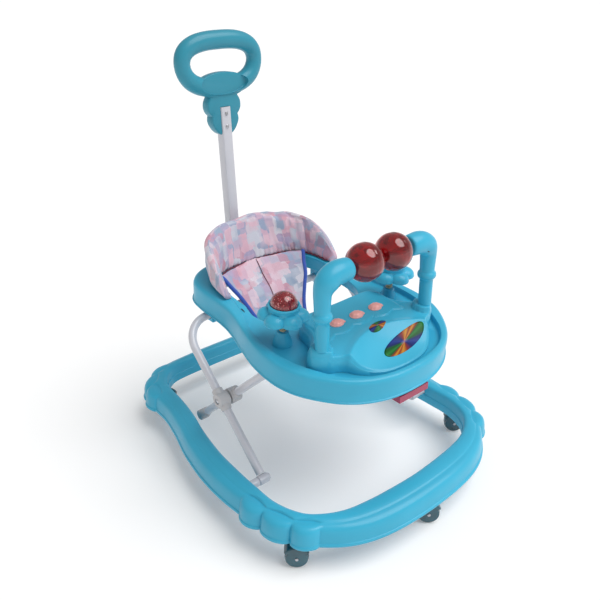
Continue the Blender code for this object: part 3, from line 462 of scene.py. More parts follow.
def open_curve(points, u):
    n = len(points)
    i = min(int(u), n - 2)
    return catmull(points[max(i - 1, 0)], points[i], points[i + 1], points[min(i + 2, n - 1)],
                   u - i)


def around(steps):
    return [(1, u) for u in steps] + [(-1, u) for u in reversed(steps[1:-1])]


def sweep(path, radii, segments, closed=False):
    """A new round tube along a path, with one radius for each point."""
    count = len(path)
    points = [Vector(p) for p in path]
    tangents = []
    for i in range(count):
        a = points[(i - 1) % count] if closed or i else points[0]
        b = points[(i + 1) % count] if closed or i < count - 1 else points[-1]
        tangents.append((b - a).normalized())
    side = tangents[0].orthogonal().normalized()
    stations = []
    for p, t, r in zip(points, tangents, radii):
        side = (side - t * side.dot(t)).normalized()
        other = t.cross(side)
        stations.append([p + r * (side * math.cos(math.tau * k / segments)
                                  + other * math.sin(math.tau * k / segments))
                         for k in range(segments)])
    return skin(stations, closed)


def arc(centre, start, end, turn, steps):
    c, a, b = Vector(centre), Vector(start), Vector(end)
    return [c + a * math.cos(turn * i / steps) + b * math.sin(turn * i / steps)
            for i in range(steps + 1)]


def smoothstep(a, b, x):
    t = min(max((x - a) / (b - a), 0.0), 1.0)
    return t * t * (3.0 - 2.0 * t)


def add_boolean(target, cutter, operation="DIFFERENCE"):
    """Apply a boolean at once and drop the cutter."""
    mod = target.modifiers.new("cut", "BOOLEAN")
    mod.operation = operation
    mod.solver = "EXACT"
    mod.object = cutter
    bpy.context.view_layer.update()
    graph = bpy.context.evaluated_depsgraph_get()
    result = bpy.data.meshes.new_from_object(target.evaluated_get(graph))
    target.modifiers.remove(mod)
    old = target.data
    target.data = result
    bpy.data.meshes.remove(old)
    bpy.data.objects.remove(cutter, do_unlink=True)


def loose(bm, matrix=None):
    """A helper object for a boolean."""
    bmesh.ops.recalc_face_normals(bm, faces=bm.faces)
    if matrix is not None:
        bmesh.ops.transform(bm, matrix=matrix, verts=bm.verts)
    mesh = bpy.data.meshes.new("helper")
    bm.to_mesh(mesh)
    bm.free()
    obj = bpy.data.objects.new("helper", mesh)
    bpy.context.scene.collection.objects.link(obj)
    return obj


def taken(obj):
    """The mesh of a helper object, which is dropped."""
    bm = bmesh.new()
    bm.from_mesh(obj.data)
    bpy.data.objects.remove(obj, do_unlink=True)
    return bm


def block(size, centre):
    bm = bmesh.new()
    bmesh.ops.create_cube(bm, size=1.0)
    bmesh.ops.scale(bm, vec=size, verts=bm.verts)
    bmesh.ops.translate(bm, vec=centre, verts=bm.verts)
    return bm


def dome_faces(bm, top, rows):
    """Close rings of vertices that widen from one top vertex."""
    count = len(rows[0])
    for k in range(count):
        m = (k + 1) % count
        bm.faces.new((top, rows[0][k], rows[0][m]))
        for a, b in zip(rows, rows[1:]):
            bm.faces.new((a[k], b[k], b[m], a[m]))


# ---------------------------------------------------------------- base ring
RING_OUTER = [(0.0, -0.353), (0.071, -0.35), (0.13, -0.34), (0.179, -0.32),
              (0.221, -0.287), (0.253, -0.247), (0.272, -0.19), (0.279, -0.138),
              (0.283, -0.08), (0.28, -0.013), (0.268, 0.062), (0.25, 0.13),
              (0.238, 0.19), (0.236, 0.235), (0.231, 0.283), (0.2, 0.322),
              (0.15, 0.345), (0.075, 0.352), (0.0, 0.353)]
RING_INNER = [(0.0, -0.295), (0.065, -0.292), (0.115, -0.287), (0.155, -0.279),
              (0.19, -0.262), (0.217, -0.236), (0.234, -0.19), (0.236, -0.136),
              (0.235, -0.08), (0.231, -0.013), (0.219, 0.062), (0.203, 0.13),
              (0.194, 0.19), (0.19, 0.238), (0.18, 0.277), (0.16, 0.301),
              (0.133, 0.313), (0.07, 0.317), (0.0, 0.318)]
LOBES = ((4.0, 7.0, 0.0115), (13.0, 16.0, 0.0085))
RING_SECTION = [  # share of width, height, share of the bulge
    (0.1, 0.052, 1.0), (0.0, 0.052, 1.0), (-0.01, 0.053, 1.0), (-0.012, 0.0548, 1.0),
    (-0.006, 0.0568, 1.0), (0.01, 0.058, 1.0), (0.034, 0.0586, 1.0), (0.044, 0.0605, 1.0),
    (0.052, 0.066, 1.0), (0.066, 0.073, 1.0), (0.092, 0.0792, 0.97), (0.13, 0.0842, 0.9),
    (0.18, 0.0872, 0.75), (0.24, 0.0892, 0.55), (0.31, 0.0905, 0.3), (0.37, 0.0911, 0.12),
    (0.402, 0.0915, 0.0), (0.424, 0.0925, 0.0), (0.452, 0.0933, 0.0), (0.6, 0.0946, 0.0),
    (0.76, 0.0947, 0.0), (0.88, 0.0938, 0.0), (0.95, 0.0918, 0.0), (0.985, 0.0885, 0.0),
    (1.0, 0.0835, 0.0), (1.0, 0.0722, 0.0), (1.008, 0.0703, 0.0), (1.036, 0.0697, 0.0),
    (1.046, 0.068, 0.0), (1.048, 0.054, 0.0), (1.04, 0.052, 0.0), (0.92, 0.052, 0.0),
    (0.9, 0.0875, 0.0), (0.5, 0.0905, 0.0), (0.2, 0.0855, 0.7), (0.11, 0.06, 1.0)]


def lobe(u):
    for first, last, size in LOBES:
        if first < u < last:
            return size * abs(math.sin(math.pi * (u - first))) ** 0.62
    return 0.0


def ring_station(side, u):
    outer = Vector(half_curve(RING_OUTER, u))
    inner = Vector(half_curve(RING_INNER, u))
    across = inner - outer
    bulge = lobe(u)
    out = -across.normalized()
    crescent = 0.0
    for first, last, _ in LOBES:
        if first < u < last:
            crescent = 0.13 * abs(math.sin(math.pi * (u - first))) ** 0.8
    points = []
    for share, z, part in RING_SECTION:
        moved = share
        if 0.3 < share < 0.46:
            moved = share + crescent
        lift = 0.0022 * (bulge / 0.0115) * math.exp(-((share - 0.2) / 0.13) ** 2)
        if 0.36 < share < 0.41:
            lift -= 0.0012 * min(crescent / 0.08, 1.0)
        p = outer + across * moved + out * bulge * part
        points.append((side * p.x, p.y, min(z + lift, 0.095)))
    return points


def build_ring():
    steps = []
    for i in range(len(RING_OUTER) - 1):
        in_lobe = any(first <= i < last for first, last, _ in LOBES)
        count = 14 if in_lobe else 7
        steps += [i + k / count for k in range(count)]
    steps.append(float(len(RING_OUTER) - 1))
    bm = skin([ring_station(s, u) for s, u in around(steps)], closed=True)
    piece("ring_moulding", bm, "aqua", "base", ["base_ring"])
    for name, (x, y, _) in CASTERS.items():
        bm = lathe([(0.00415, 0.0545), (0.0066, 0.0545), (0.0078, 0.07), (0.0078, 0.0895),
                    (0.00415, 0.0895)], 28)
        piece("caster_socket_" + name, bm, "aqua", "base", matrix=Matrix.Translation((x, y, 0)))


# ---------------------------------------------------------------- casters
HOOD_CUT_Z = 0.034       # the hood covers the wheel above this height
HOOD_R = WHEEL_R + 0.0042
HOOD_HALF = 0.0118
CHEEK_R = 0.0198
CHEEK_HALF = 0.0113
SLOT_R = WHEEL_R + 0.0019
SLOT_HALF = 0.0079
PIN_HALF = 0.0128


def disc(radius, half, fillet=0.0, steps=4):
    """Turned profile of a flat disc with rounded rims."""
    profile = [(0.0, -half), (radius, -half), (radius, half), (0.0, half)]
    return round_profile(profile, fillet, steps) if fillet else profile


def build_caster(name, x, y, heading):
    body = "caster_" + name
    swivel = Matrix.Translation((x, y, 0.0)) @ Matrix.Rotation(math.radians(heading), 4, "Z")
    turn = Matrix.Translation((CASTER_TRAIL, 0.0, WHEEL_R)) @ Matrix.Rotation(math.pi / 2, 4, "X")
    bm = lathe(disc(HOOD_R, HOOD_HALF, 0.0035, 5), 56, turn)
    hood = loose(bm, swivel)
    add_boolean(hood, loose(block((0.08, 0.06, 0.04), (CASTER_TRAIL, 0.0, HOOD_CUT_Z - 0.02)),
                            swivel))
    bm = lathe(disc(CHEEK_R, CHEEK_HALF, 0.003, 4), 56, turn)
    add_boolean(hood, loose(bm, swivel), "UNION")
    bm = lathe([(0.0, 0.038), (0.0085, 0.038), (0.0085, 0.0505), (0.0078, 0.0512),
                (0.004, 0.0512), (0.004, 0.079), (0.0, 0.079)], 32)
    add_boolean(hood, loose(bm, swivel), "UNION")
    bm = lathe(disc(SLOT_R, SLOT_HALF), 56, turn)
    add_boolean(hood, loose(bm, swivel))
    bm = taken(hood)
    piece("caster_shroud_" + name, bm, "caster", body, ["caster_hood_" + name], sharp=30)
    bm = lathe(disc(0.003, PIN_HALF, 0.0008, 3), 20, turn)
    piece("caster_pin_" + name, bm, "steel", body, ["caster_axle_" + name], swivel)
    half = WHEEL_W / 2
    face = [(0.0034, half), (0.0065, half), (0.0075, half - 0.0018), (0.015, half - 0.0018),
            (0.0165, half), (0.019, half), (WHEEL_R, half - 0.0022)]
    profile = [(r, -z) for r, z in face] + list(reversed(face))
    bm = lathe(round_profile(profile, 0.0006, 2), 56, turn)
    piece("wheel_disc_" + name, bm, "caster", "wheel_" + name, ["caster_wheel_" + name], swivel)


# ---------------------------------------------------------------- scissor legs
def leg_path(x, foot, bar, bend, start):
    foot_v = Vector((0.0, foot[0], foot[1]))
    rise = Vector((0.0, bar[0], bar[1])) - foot_v
    length = rise.length
    rise.normalize()
    points = []
    for side in (1, -1):
        corner = foot_v + rise * (length - bend) + Vector((side * (x - bend), 0.0, 0.0))
        leg = [foot_v + Vector((side * x, 0.0, 0.0)) + rise * s
               for s in (start, start + 0.02, length * 0.4)]
        leg += arc(corner, (side * bend, 0.0, 0.0), rise * bend, math.pi / 2, 16)
        points += leg if side == 1 else list(reversed(leg))
    return points


def build_legs():
    for name, node, x, foot, bar, bend, body in (
            ("outer_tube", "leg_outer", OUTER_X, FOOT, REAR_BAR, OUTER_BEND, "legs_outer"),
            ("inner_tube", "leg_inner", INNER_X, INNER_FOOT, FRONT_BAR, INNER_BEND,
             "legs_inner")):
        path = leg_path(x, foot, bar, bend, 0.0105)
        bm = sweep(path, [TUBE_R] * len(path), 32)
        piece(name, bm, "tube", body, [node])
    for side, tag in SIDES:
        build_leg_details(side, tag)


def build_leg_details(side, tag):
    for name, node, x, foot, body in (
            ("hub_out_", "hub_outer_", OUTER_X, FOOT, "legs_outer"),
            ("hub_in_", "hub_inner_", INNER_X, INNER_FOOT, "legs_inner")):
        hub = Vector((side * x, HUB[0], HUB[1]))
        along = (hub - Vector((side * x, foot[0], foot[1]))).normalized()
        inward = -side if x == OUTER_X else side
        bm = sweep([hub + along * s for s in (-0.0225, -0.0215, -0.019, 0.019, 0.0215, 0.0225)],
                   [0.0084, 0.01, 0.0108, 0.0108, 0.01, 0.0084], 32)
        sleeve = loose(bm)
        bm = lathe(round_profile([(0.0, -0.0115), (0.0148, -0.0115), (0.0158, 0.012),
                                  (0.0, 0.012)], 0.003, 5), 40,
                   along_x(side * x, *HUB, side=inward))
        add_boolean(sleeve, loose(bm), "UNION")
        bm = lathe(round_profile([(0.0, 0.0085), (0.0062, 0.0085), (0.0062, 0.02), (0.0, 0.02)],
                                 0.001, 2), 24, along_x(side * x, *HUB, side=-inward))
        add_boolean(sleeve, loose(bm))
        bm = taken(sleeve)
        piece(name + tag, bm, "hub", body, [node + tag], sharp=32)
    bm = lathe([(0.0, 0.2158), (0.005, 0.2158), (0.005, 0.2168), (0.0038, 0.218),
                (0.002, 0.2186), (0.0, 0.2187)], 24)
    piece("hub_rivet_head_" + tag, bm, "steel", "legs_outer", ["hub_rivet_" + tag],
          along_x(0.0, *HUB, side=side))
    at_outer = along_x(0.0, *FOOT, side=side)
    bm = lathe(round_profile([(0.0042, 0.1965), (0.0092, 0.1965), (0.0092, 0.218),
                              (0.0042, 0.218)], 0.0022, 4), 36, at_outer)
    piece("foot_eye_" + tag, bm, "tube", "legs_outer")
    bm = lathe(round_profile([(0.0, 0.1925), (0.006, 0.193), (0.0064, 0.1962),
                              (0.004, 0.1962), (0.004, 0.2185), (0.0082, 0.2185),
                              (0.0082, 0.235), (0.0, 0.235)], 0.0006, 2), 28, at_outer)
    piece("foot_bolt_" + tag, bm, "tube", "base", ["foot_pin_" + tag])
    inner = Vector((side * INNER_X, INNER_FOOT[0], INNER_FOOT[1]))
    rise = (Vector((side * INNER_X, HUB[0], HUB[1])) - inner).normalized()
    bm = sweep([inner + rise * s for s in (0.0, 0.004, 0.012, 0.024, 0.0255, 0.0262)],
               [0.0105, 0.0108, 0.0102, 0.0096, 0.009, 0.0082], 32)
    cap = loose(bm)
    bm = lathe(round_profile([(0.0, 0.169), (0.011, 0.169), (0.011, 0.19), (0.0, 0.19)],
                             0.0035, 5), 36, along_x(0.0, *INNER_FOOT, side=side))
    add_boolean(cap, loose(bm), "UNION")
    bm = taken(cap)
    piece("foot_cap_" + tag, bm, "hub", "legs_inner", ["foot_inner_" + tag], sharp=32)


# ---------------------------------------------------------------- tray
TRAY_RIM = [(0.0, -0.29), (0.05, -0.286), (0.095, -0.271), (0.13, -0.248), (0.158, -0.217),
            (0.179, -0.183), (0.19, -0.147), (0.1915, -0.107), (0.187, -0.068),
            (0.177, -0.028), (0.166, 0.01), (0.158, 0.05), (0.1565, 0.09),
            (0.158, 0.13), (0.154, 0.166), (0.139, 0.19), (0.113, 0.208), (0.07, 0.22),
            (0.03, 0.2225), (0.0, 0.2225)]
TRAY_OPENING = [(0.0, -0.07), (0.022, -0.069), (0.044, -0.067), (0.066, -0.062),
                (0.085, -0.054), (0.1, -0.042), (0.111, -0.027), (0.117, -0.01),
                (0.12, 0.008), (0.121, 0.027), (0.121, 0.046), (0.121, 0.066),
                (0.12, 0.088), (0.117, 0.11), (0.108, 0.132), (0.094, 0.148),
                (0.072, 0.16), (0.042, 0.167), (0.018, 0.169), (0.0, 0.17)]
TRAY_BAND = [0.014, 0.014, 0.013, 0.017, 0.025, 0.031, 0.034, 0.034, 0.034, 0.035, 0.035,
             0.03, 0.026, 0.028, 0.032, 0.032, 0.032, 0.032, 0.032, 0.032]


def tray_station(side, u):
    outer = Vector(half_curve(TRAY_RIM, u))
    inner = Vector(half_curve(TRAY_OPENING, u))
    width = (inner - outer).length
    across = (inner - outer) / width
    band = half_curve([(0.0, b) for b in TRAY_BAND], u)[1]
    trough = RECESS * (1.0 - smoothstep(8.3, 9.8, u))
    under = -trough - WALL
    part = trough / RECESS
    floor = -trough - 0.0008
    section = [
        (-0.0022, -SKIRT), (-0.0026, -SKIRT + 0.0012), (-0.0022, -SKIRT + 0.0026),
        (-0.0006, -SKIRT + 0.0034), (0.0, -SKIRT + 0.0048), (0.0003, -0.026),
        (0.0, -0.011), (0.0004, -0.0068), (0.0016, -0.0036), (0.0036, -0.0014),
        (0.0062, -0.0003), (0.009, 0.0), (band - 0.004, 0.0), (band - 0.0018, -0.0003),
        (band - 0.0004, -0.001 - 0.08 * trough), (band + 0.0006, -0.5 * trough - 0.0004),
        (band + 0.0016, floor + 0.0012 * part), (band + 0.0034, floor),
        (width - 0.004, floor), (width - 0.0016, floor - 0.0004), (width - 0.0003, floor - 0.0016),
        (width, floor - 0.0036), (width, -0.0295), (width - 0.001, -0.0305),
        (width - WALL, -0.03), (width - WALL, under - 0.001), (band + 0.001, under - 0.0008),
        (band - 0.003, -0.004 - 0.6 * trough), (0.0065, -WALL - 0.0006),
        (0.003, -0.009), (0.0028, -SKIRT)]
    points = []
    for offset, h in section:
        p = outer + across * offset
        points.append((side * p.x, p.y, h))
    return points


def build_tray():
    last = len(TRAY_RIM) - 1
    bm = skin([tray_station(s, u) for s, u in around([i / 6 for i in range(6 * last + 1)])],
              closed=True)
    piece("tray_moulding", bm, "aqua", "tray", ["tray_shell"], TRAY)
    build_slots()


def build_slots():
    """Curved slots beside the opening that take the seat's hooks; each is a thin dark strip of
    painted shade.
    """
    for side, tag in SIDES:
        for u0, u1, inset in ((9.35, 9.95, 0.019), (10.75, 11.25, 0.0145)):
            rings = []
            for i in range(13):
                u = u0 + (u1 - u0) * i / 12
                inner = Vector(half_curve(TRAY_OPENING, u))
                outer = Vector(half_curve(TRAY_RIM, u))
                across = (outer - inner).normalized()
                half = 0.0021 * math.sqrt(max(1.0 - (2 * i / 12 - 1) ** 2, 0.02))
                trough = RECESS * (1.0 - smoothstep(8.3, 9.8, u))
                h = -trough - 0.0008
                a = inner + across * (inset - half)
                b = inner + across * (inset + half)
                rings.append([(side * a.x, a.y, h + 0.0003), (side * b.x, b.y, h + 0.0003),
                              (side * b.x, b.y, h - 0.0012), (side * a.x, a.y, h - 0.0012)])
            bm = skin(rings, closed=False)
            # the slot look paints the shade that fills each slot
            piece("seat_slot_%s_%d" % (tag, int(u0)), bm, "slot", "tray", matrix=TRAY)


# ---------------------------------------------------------------- toy console
CONSOLE_EDGE = [(0.0, -0.268), (0.04, -0.264), (0.068, -0.253), (0.088, -0.237),
                (0.104, -0.216), (0.124, -0.2065), (0.141, -0.194), (0.148, -0.179),
                (0.138, -0.161), (0.118, -0.148), (0.104, -0.126), (0.099, -0.1),
                (0.084, -0.08), (0.05, -0.078), (0.0, -0.079)]
CONSOLE_MID = (0.0, -0.172)
BOSS_R = 0.019
BOSS_TOP_H = 0.03
DECK_H = 0.02
DISH_LOW = -0.005
CONSOLE_FLOOR = -RECESS - 0.0005


def cloud_edge(x):
    return -0.152 - 0.008 * abs(math.cos(math.pi * x / BUTTON_PITCH)) - 0.006 * abs(x) / 0.07


def console_height(x, y):
    crest_y = -0.185 - 0.04 * (x / 0.1) ** 2
    ridge = 0.004 * smoothstep(0.125, 0.095, abs(x))
    if y > crest_y:
        height = DECK_H + ridge * math.exp(-((y - crest_y) / 0.012) ** 2)
        raised = smoothstep(cloud_edge(x) - 0.0008, cloud_edge(x) + 0.001, y)
        height += 0.003 * raised * smoothstep(0.0945, 0.0925, abs(x))
    else:
        fall = min((crest_y - y) / max(crest_y + 0.266, 0.004), 1.0)
        height = DISH_LOW + (DECK_H + ridge - DISH_LOW) * (1.0 - fall) ** 1.5
    for side in (1, -1):
        d = math.hypot(x - side * POST[0], y + 0.184)
        boss = -0.01 + (BOSS_TOP_H + 0.01) * smoothstep(0.027, BOSS_R, d)
        height = max(height, boss)
    return height


def build_console():
    steps = [i / 12 for i in range(12 * (len(CONSOLE_EDGE) - 1) + 1)]
    edge = [(s * half_curve(CONSOLE_EDGE, u)[0], half_curve(CONSOLE_EDGE, u)[1])
            for s, u in around(steps)]
    bm = bmesh.new()
    rows = []
    rings = 46
    for k in range(1, rings + 1):
        share = 1.0 - (1.0 - k / rings) ** 1.35
        row = []
        for px, py in edge:
            x = px * share
            y = CONSOLE_MID[1] + (py - CONSOLE_MID[1]) * share
            h = console_height(x, y)
            drop = smoothstep(0.945, 1.0, share)
            row.append(bm.verts.new((x, y, h - drop * drop * (h - CONSOLE_FLOOR) * 0.3)))
        rows.append(row)
    rows.append([bm.verts.new((px * 1.004, CONSOLE_MID[1] + (py - CONSOLE_MID[1]) * 1.004,
                               CONSOLE_FLOOR)) for px, py in edge])
    top = bm.verts.new((*CONSOLE_MID, console_height(*CONSOLE_MID)))
    dome_faces(bm, top, rows)
    piece("console_moulding", bm, "aqua", "tray", ["toy_console"], TRAY, sharp=60)
    for i, x in enumerate((-BUTTON_PITCH, 0.0, BUTTON_PITCH)):
        build_button(i + 1, x)
    build_print("oval_sticker", "print", (0.031, -0.2285), 0.056, 0.0155, math.radians(8))
    build_print("small_sticker", "print_small", (0.007, -0.1825), 0.024, 0.01,
                math.radians(14))


def build_button(index, x):
    """Oval push button with faint ribs and a small point on one side."""
    bm = bmesh.new()
    count = 64
    rows = []
    for share, h in ((0.25, 0.0304), (0.5, 0.0298), (0.7, 0.0286), (0.84, 0.027),
                     (0.9, 0.0256), (0.93, 0.0252), (1.0, 0.0248), (1.0, 0.0205)):
        row = []
        for k in range(count):
            a = math.tau * k / count
            tail = math.exp(-((a - math.pi * 1.9) / 0.17) ** 2) * 0.0034
            tail -= math.exp(-((a - math.pi * 1.76) / 0.12) ** 2) * 0.0016
            tail -= math.exp(-((a - math.pi * 2.04) / 0.1) ** 2) * 0.001
            rx = 0.0146 + tail
            ry = 0.0108 + tail
            rib = 0.0004 * math.cos(9 * a) * share * (h < 0.03)
            row.append(bm.verts.new((rx * share * math.cos(a), ry * share * math.sin(a),
                                     h + rib)))
        rows.append(row)
    dome_faces(bm, bm.verts.new((0.0, 0.0, 0.0305)), rows)
    bm.faces.new([rows[-1][k] for k in reversed(range(count))])
    piece("button_shell_%d" % index, bm, "button", "key_%d" % index, ["button_%d" % index],
          TRAY @ Matrix.Translation((x, BUTTON_Y, 0.0)))


def build_print(name, look, centre, half_w, half_h, angle):
    """Thin oval film that follows the console's surface."""
    bm = bmesh.new()
    layer = bm.verts.layers.float_vector.new("print")
    around_n = 48
    rings = 10
    rows = []
    for r in range(1, rings + 1):
        row = []
        for k in range(around_n):
            a = math.tau * k / around_n
            lx = math.cos(a) * r / rings
            ly = math.sin(a) * r / rings
            ex, ey = lx * half_w, ly * half_h
            x = centre[0] + ex * math.cos(angle) - ey * math.sin(angle)
            y = centre[1] + ex * math.sin(angle) + ey * math.cos(angle)
            v = bm.verts.new((x, y, console_height(x, y) + 0.0004))
            v[layer] = (lx, ly, 0.0)
            row.append(v)
        rows.append(row)
    top = bm.verts.new((*centre, console_height(*centre) + 0.0004))
    top[layer] = (0.0, 0.0, 0.0)
    dome_faces(bm, top, rows)
    obj = piece(name, bm, look, "tray", matrix=TRAY)
    film = obj.modifiers.new("film", "SOLIDIFY")
    film.thickness = 0.0003
    film.offset = -1.0


# ---------------------------------------------------------------- arch with rattle balls
def build_arch():
    boss_z = (TRAY @ Vector((POST[0], -0.184, BOSS_TOP_H))).z - 0.002
    bend = 0.034
    for side, tag in SIDES:
        x = side * POST[0]
        stops = ((boss_z, 0.0122), (0.4, 0.0124), (0.4085, 0.0125), (0.4105, 0.0142),
                 (0.4125, 0.0162), (0.415, 0.0171), (0.419, 0.0171), (0.4215, 0.0163),
                 (0.4232, 0.0148), (0.4245, 0.0137), (0.43, 0.0138), (0.44, 0.0142),
                 (0.448, 0.0146))
        path = [(x, POST[1], z) for z, _ in stops]
        radii = [r for _, r in stops]
        centre = (x - side * bend, POST[1], AXLE_Z - bend)
        path += arc(centre, (side * bend, 0.0, 0.0), (0.0, 0.0, bend), math.pi / 2, 14)
        radii += [0.015 + 0.0056 * smoothstep(0.0, 0.55, i / 14) for i in range(15)]
        for dx, r in ((0.09, 0.0204), (0.084, 0.02), (0.078, 0.0195), (0.074, 0.0188),
                      (0.0718, 0.0177), (0.0708, 0.016), (0.0706, 0.012)):
            path.append((side * dx, POST[1], AXLE_Z))
            radii.append(r)
        bm = sweep(path, radii, 48)
        piece("arch_tube_" + tag, bm, "aqua", "tray", ["arch_post_" + tag], sharp=50)
        # The screw at the arch's face is a small dark disc in the slot look, painted shade of its
        # hole.
        bm = lathe(round_profile([(0.0, 0.0), (0.004, 0.0), (0.004, 0.0016), (0.0, 0.0016)],
                                 0.0006, 3), 24)
        face = Matrix.Translation((x - side * 0.02, POST[1] - 0.0165, AXLE_Z - 0.012))
        piece("arch_screw_" + tag, bm, "slot", "tray",
              matrix=face @ Matrix.Rotation(math.pi / 2, 4, "X"))
        build_ball(side, tag)
    bm = lathe([(0.0, -0.0701), (0.003, -0.0701), (0.003, 0.0701), (0.0, 0.0701)], 24)
    piece("rattle_rod", bm, "steel", "tray", ["rattle_axle"], along_x(0.0, POST[1], AXLE_Z))


def ball_arc(radius, steps):
    start = math.asin(BALL_BORE / radius)
    span = math.pi - 2 * start
    return [(radius * math.sin(start + span * i / steps),
             -radius * math.cos(start + span * i / steps)) for i in range(steps + 1)]


def build_ball(side, tag):
    place = along_x(side * (BALL_R + GAP), POST[1], AXLE_Z)
    outer = [(r - 0.0005 * math.exp(-(z / 0.0006) ** 2), z) for r, z in ball_arc(BALL_R, 40)]
    bm = lathe(outer + list(reversed(ball_arc(BALL_R - BALL_WALL, 30))), 64)
    piece("ball_shell_" + tag, bm, "ball", "ball_" + tag, ["rattle_ball_" + tag], place)
    for i in range(7):
        a = math.tau * i / 7 + side
        bm = bmesh.new()
        bmesh.ops.create_icosphere(bm, subdivisions=3, radius=0.0042)
        r = 0.0255
        piece("ball_bead_%s_%d" % (tag, i), bm, "rattle", "ball_" + tag,
              matrix=place @ Matrix.Translation((r * math.cos(a), r * math.sin(a),
                                                 0.008 * math.sin(2.3 * i))))


# ---------------------------------------------------------------- flower spinners
PETALS = 6
PETAL_R = 0.0195         # radius of one petal
PETAL_C = 0.0265         # petal's centre from the middle
PETAL_ROOT = 0.0271      # where the petals leave the cup
PETAL_TOP = 0.0162
PETAL_RIM = 0.003
CUP_R = 0.0285
CUP_H = 0.0255
DOME_R = 0.0242
DOME_H = 0.0225


def petal_angle(x, y):
    pitch = math.tau / PETALS
    angle = math.atan2(y, x) % pitch
    return min(angle, pitch - angle)


def petal_edge(angle):
    psi = petal_angle(math.cos(angle), math.sin(angle))
    return PETAL_C * math.cos(psi) + math.sqrt(PETAL_R ** 2 - (PETAL_C * math.sin(psi)) ** 2)


def petal_dome(rho, angle):
    psi = petal_angle(math.cos(angle), math.sin(angle))
    d2 = rho * rho + PETAL_C ** 2 - 2 * rho * PETAL_C * math.cos(psi)
    return PETAL_RIM + 0.0135 * math.sqrt(max(1.0 - d2 / (PETAL_R * 0.985) ** 2, 0.0))


def build_flower(side, tag):
    place = TRAY @ Matrix.Translation((side * FLOWER[0], FLOWER[1], FLOWER_H))
    place = place @ Matrix.Rotation(math.radians(20.0), 4, "Z")
    count = 96
    cup = ((0.0246, CUP_H - 0.001), (0.025, CUP_H + 0.0004), (0.0262, CUP_H + 0.0009),
           (0.0276, CUP_H + 0.0005), (CUP_R, CUP_H - 0.0008), (CUP_R, CUP_H - 0.0022),
           (0.0278, CUP_H - 0.003), (0.0275, 0.019), (PETAL_ROOT, 0.016))
    bm = bmesh.new()

    def ring(radius, height):
        """One ring of vertices; radius and height are functions of the angle."""
        angles = [math.tau * k / count for k in range(count)]
        return [bm.verts.new((radius(a) * math.cos(a), radius(a) * math.sin(a), height(a)))
                for a in angles]
    rows = [ring(lambda a: r, lambda a: h) for r, h in cup]
    for mix in (0.1, 0.2, 0.32, 0.45, 0.58, 0.7, 0.8, 0.88, 0.94, 0.98, 1.0):
        def spread(a):
            return PETAL_ROOT + (petal_edge(a) * 0.985 - PETAL_ROOT) * mix
        rows.append(ring(spread, lambda a: min(petal_dome(spread(a), a), PETAL_TOP)
                         if mix < 1.0 else PETAL_RIM))
    for grow, h in ((1.0, 0.0024), (1.004, 0.0012), (0.995, 0.0)):
        rows.append(ring(lambda a: petal_edge(a) * grow, lambda a: h))
    inside = bm.verts.new((0.0, 0.0, CUP_H - 0.001))
    below = bm.verts.new((0.0, 0.0, 0.0))
    dome_faces(bm, inside, rows)
    for k in range(count):
        bm.faces.new((below, rows[-1][(k + 1) % count], rows[-1][k]))
    body = "flower_" + tag
    piece("flower_ring_" + tag, bm, "aqua", body, ["flower_petals_" + tag], place, sharp=50)
    low = CUP_H + GAP
    turns = [math.pi / 2 * i / 18 for i in range(18)]
    dome = [(0.0, low - 0.001), (DOME_R, low - 0.001)]
    dome += [(DOME_R * math.cos(a), low + DOME_H * math.sin(a)) for a in turns]
    bm = lathe(dome + [(0.0, low + DOME_H)], 64)
    piece("flower_glitter_" + tag, bm, "glitter", body, ["flower_dome_" + tag], place, sharp=50)
    floor = -RECESS - 0.0005 - FLOWER_H
    bm = lathe([(0.0, floor), (0.0185, floor), (0.0183, floor + 0.003), (0.0168, floor + 0.009),
                (0.0138, floor + 0.015), (0.0116, floor + 0.02), (0.0108, floor + 0.0245),
                (0.01, floor + 0.026), (0.0, floor + 0.026)], 48)
    piece("flower_boss_" + tag, bm, "aqua", "tray", matrix=place, sharp=30)
    turns = 6
    low, high = floor + 0.027, -0.0025
    path = [(0.0052 * math.cos(math.tau * i / 20), 0.0052 * math.sin(math.tau * i / 20),
             low + (high - low) * i / (turns * 20)) for i in range(turns * 20 + 1)]
    bm = sweep(path, [0.0015] * len(path), 10)
    piece("flower_spring_" + tag, bm, "stem", "tray", ["flower_stem_" + tag], place)
    bm = lathe([(0.0, floor + 0.024), (0.0042, floor + 0.024), (0.0042, -0.001), (0.0, -0.001)], 24)
    piece("flower_core_" + tag, bm, "stem", "tray", matrix=place)


# ---------------------------------------------------------------- seat
BACK_PATH = [(0.1405, 0.072), (0.1395, 0.1), (0.1345, 0.132), (0.122, 0.162),
             (0.098, 0.188), (0.066, 0.205), (0.033, 0.2125), (0.0, 0.2145)]
BACK_TOP = [0.01, 0.045, 0.066, 0.079, 0.086, 0.09, 0.092, 0.093]
BACK_HALF = [0.006, 0.0085, 0.0095, 0.01, 0.01, 0.01, 0.01, 0.01]
BACK_FOOT = [(0.1335, 0.072), (0.1325, 0.095), (0.1295, 0.119), (0.12, 0.141),
             (0.101, 0.161), (0.075, 0.1735), (0.04, 0.18), (0.0, 0.182)]
SLING = [  # y, z, half width and forward bow of the seat sling, back to front
    (0.1725, 0.3668, 0.106, -0.031), (0.1655, 0.361, 0.103, -0.03),
    (0.148, 0.34, 0.095, -0.024), (0.124, 0.318, 0.086, -0.016),
    (0.109, 0.295, 0.076, -0.01), (0.086, 0.258, 0.06, -0.004), (0.048, 0.224, 0.044, 0.0),
    (0.008, 0.214, 0.037, 0.0), (-0.026, 0.232, 0.04, 0.0), (-0.047, 0.27, 0.05, 0.004),
    (-0.058, 0.318, 0.06, 0.008)]


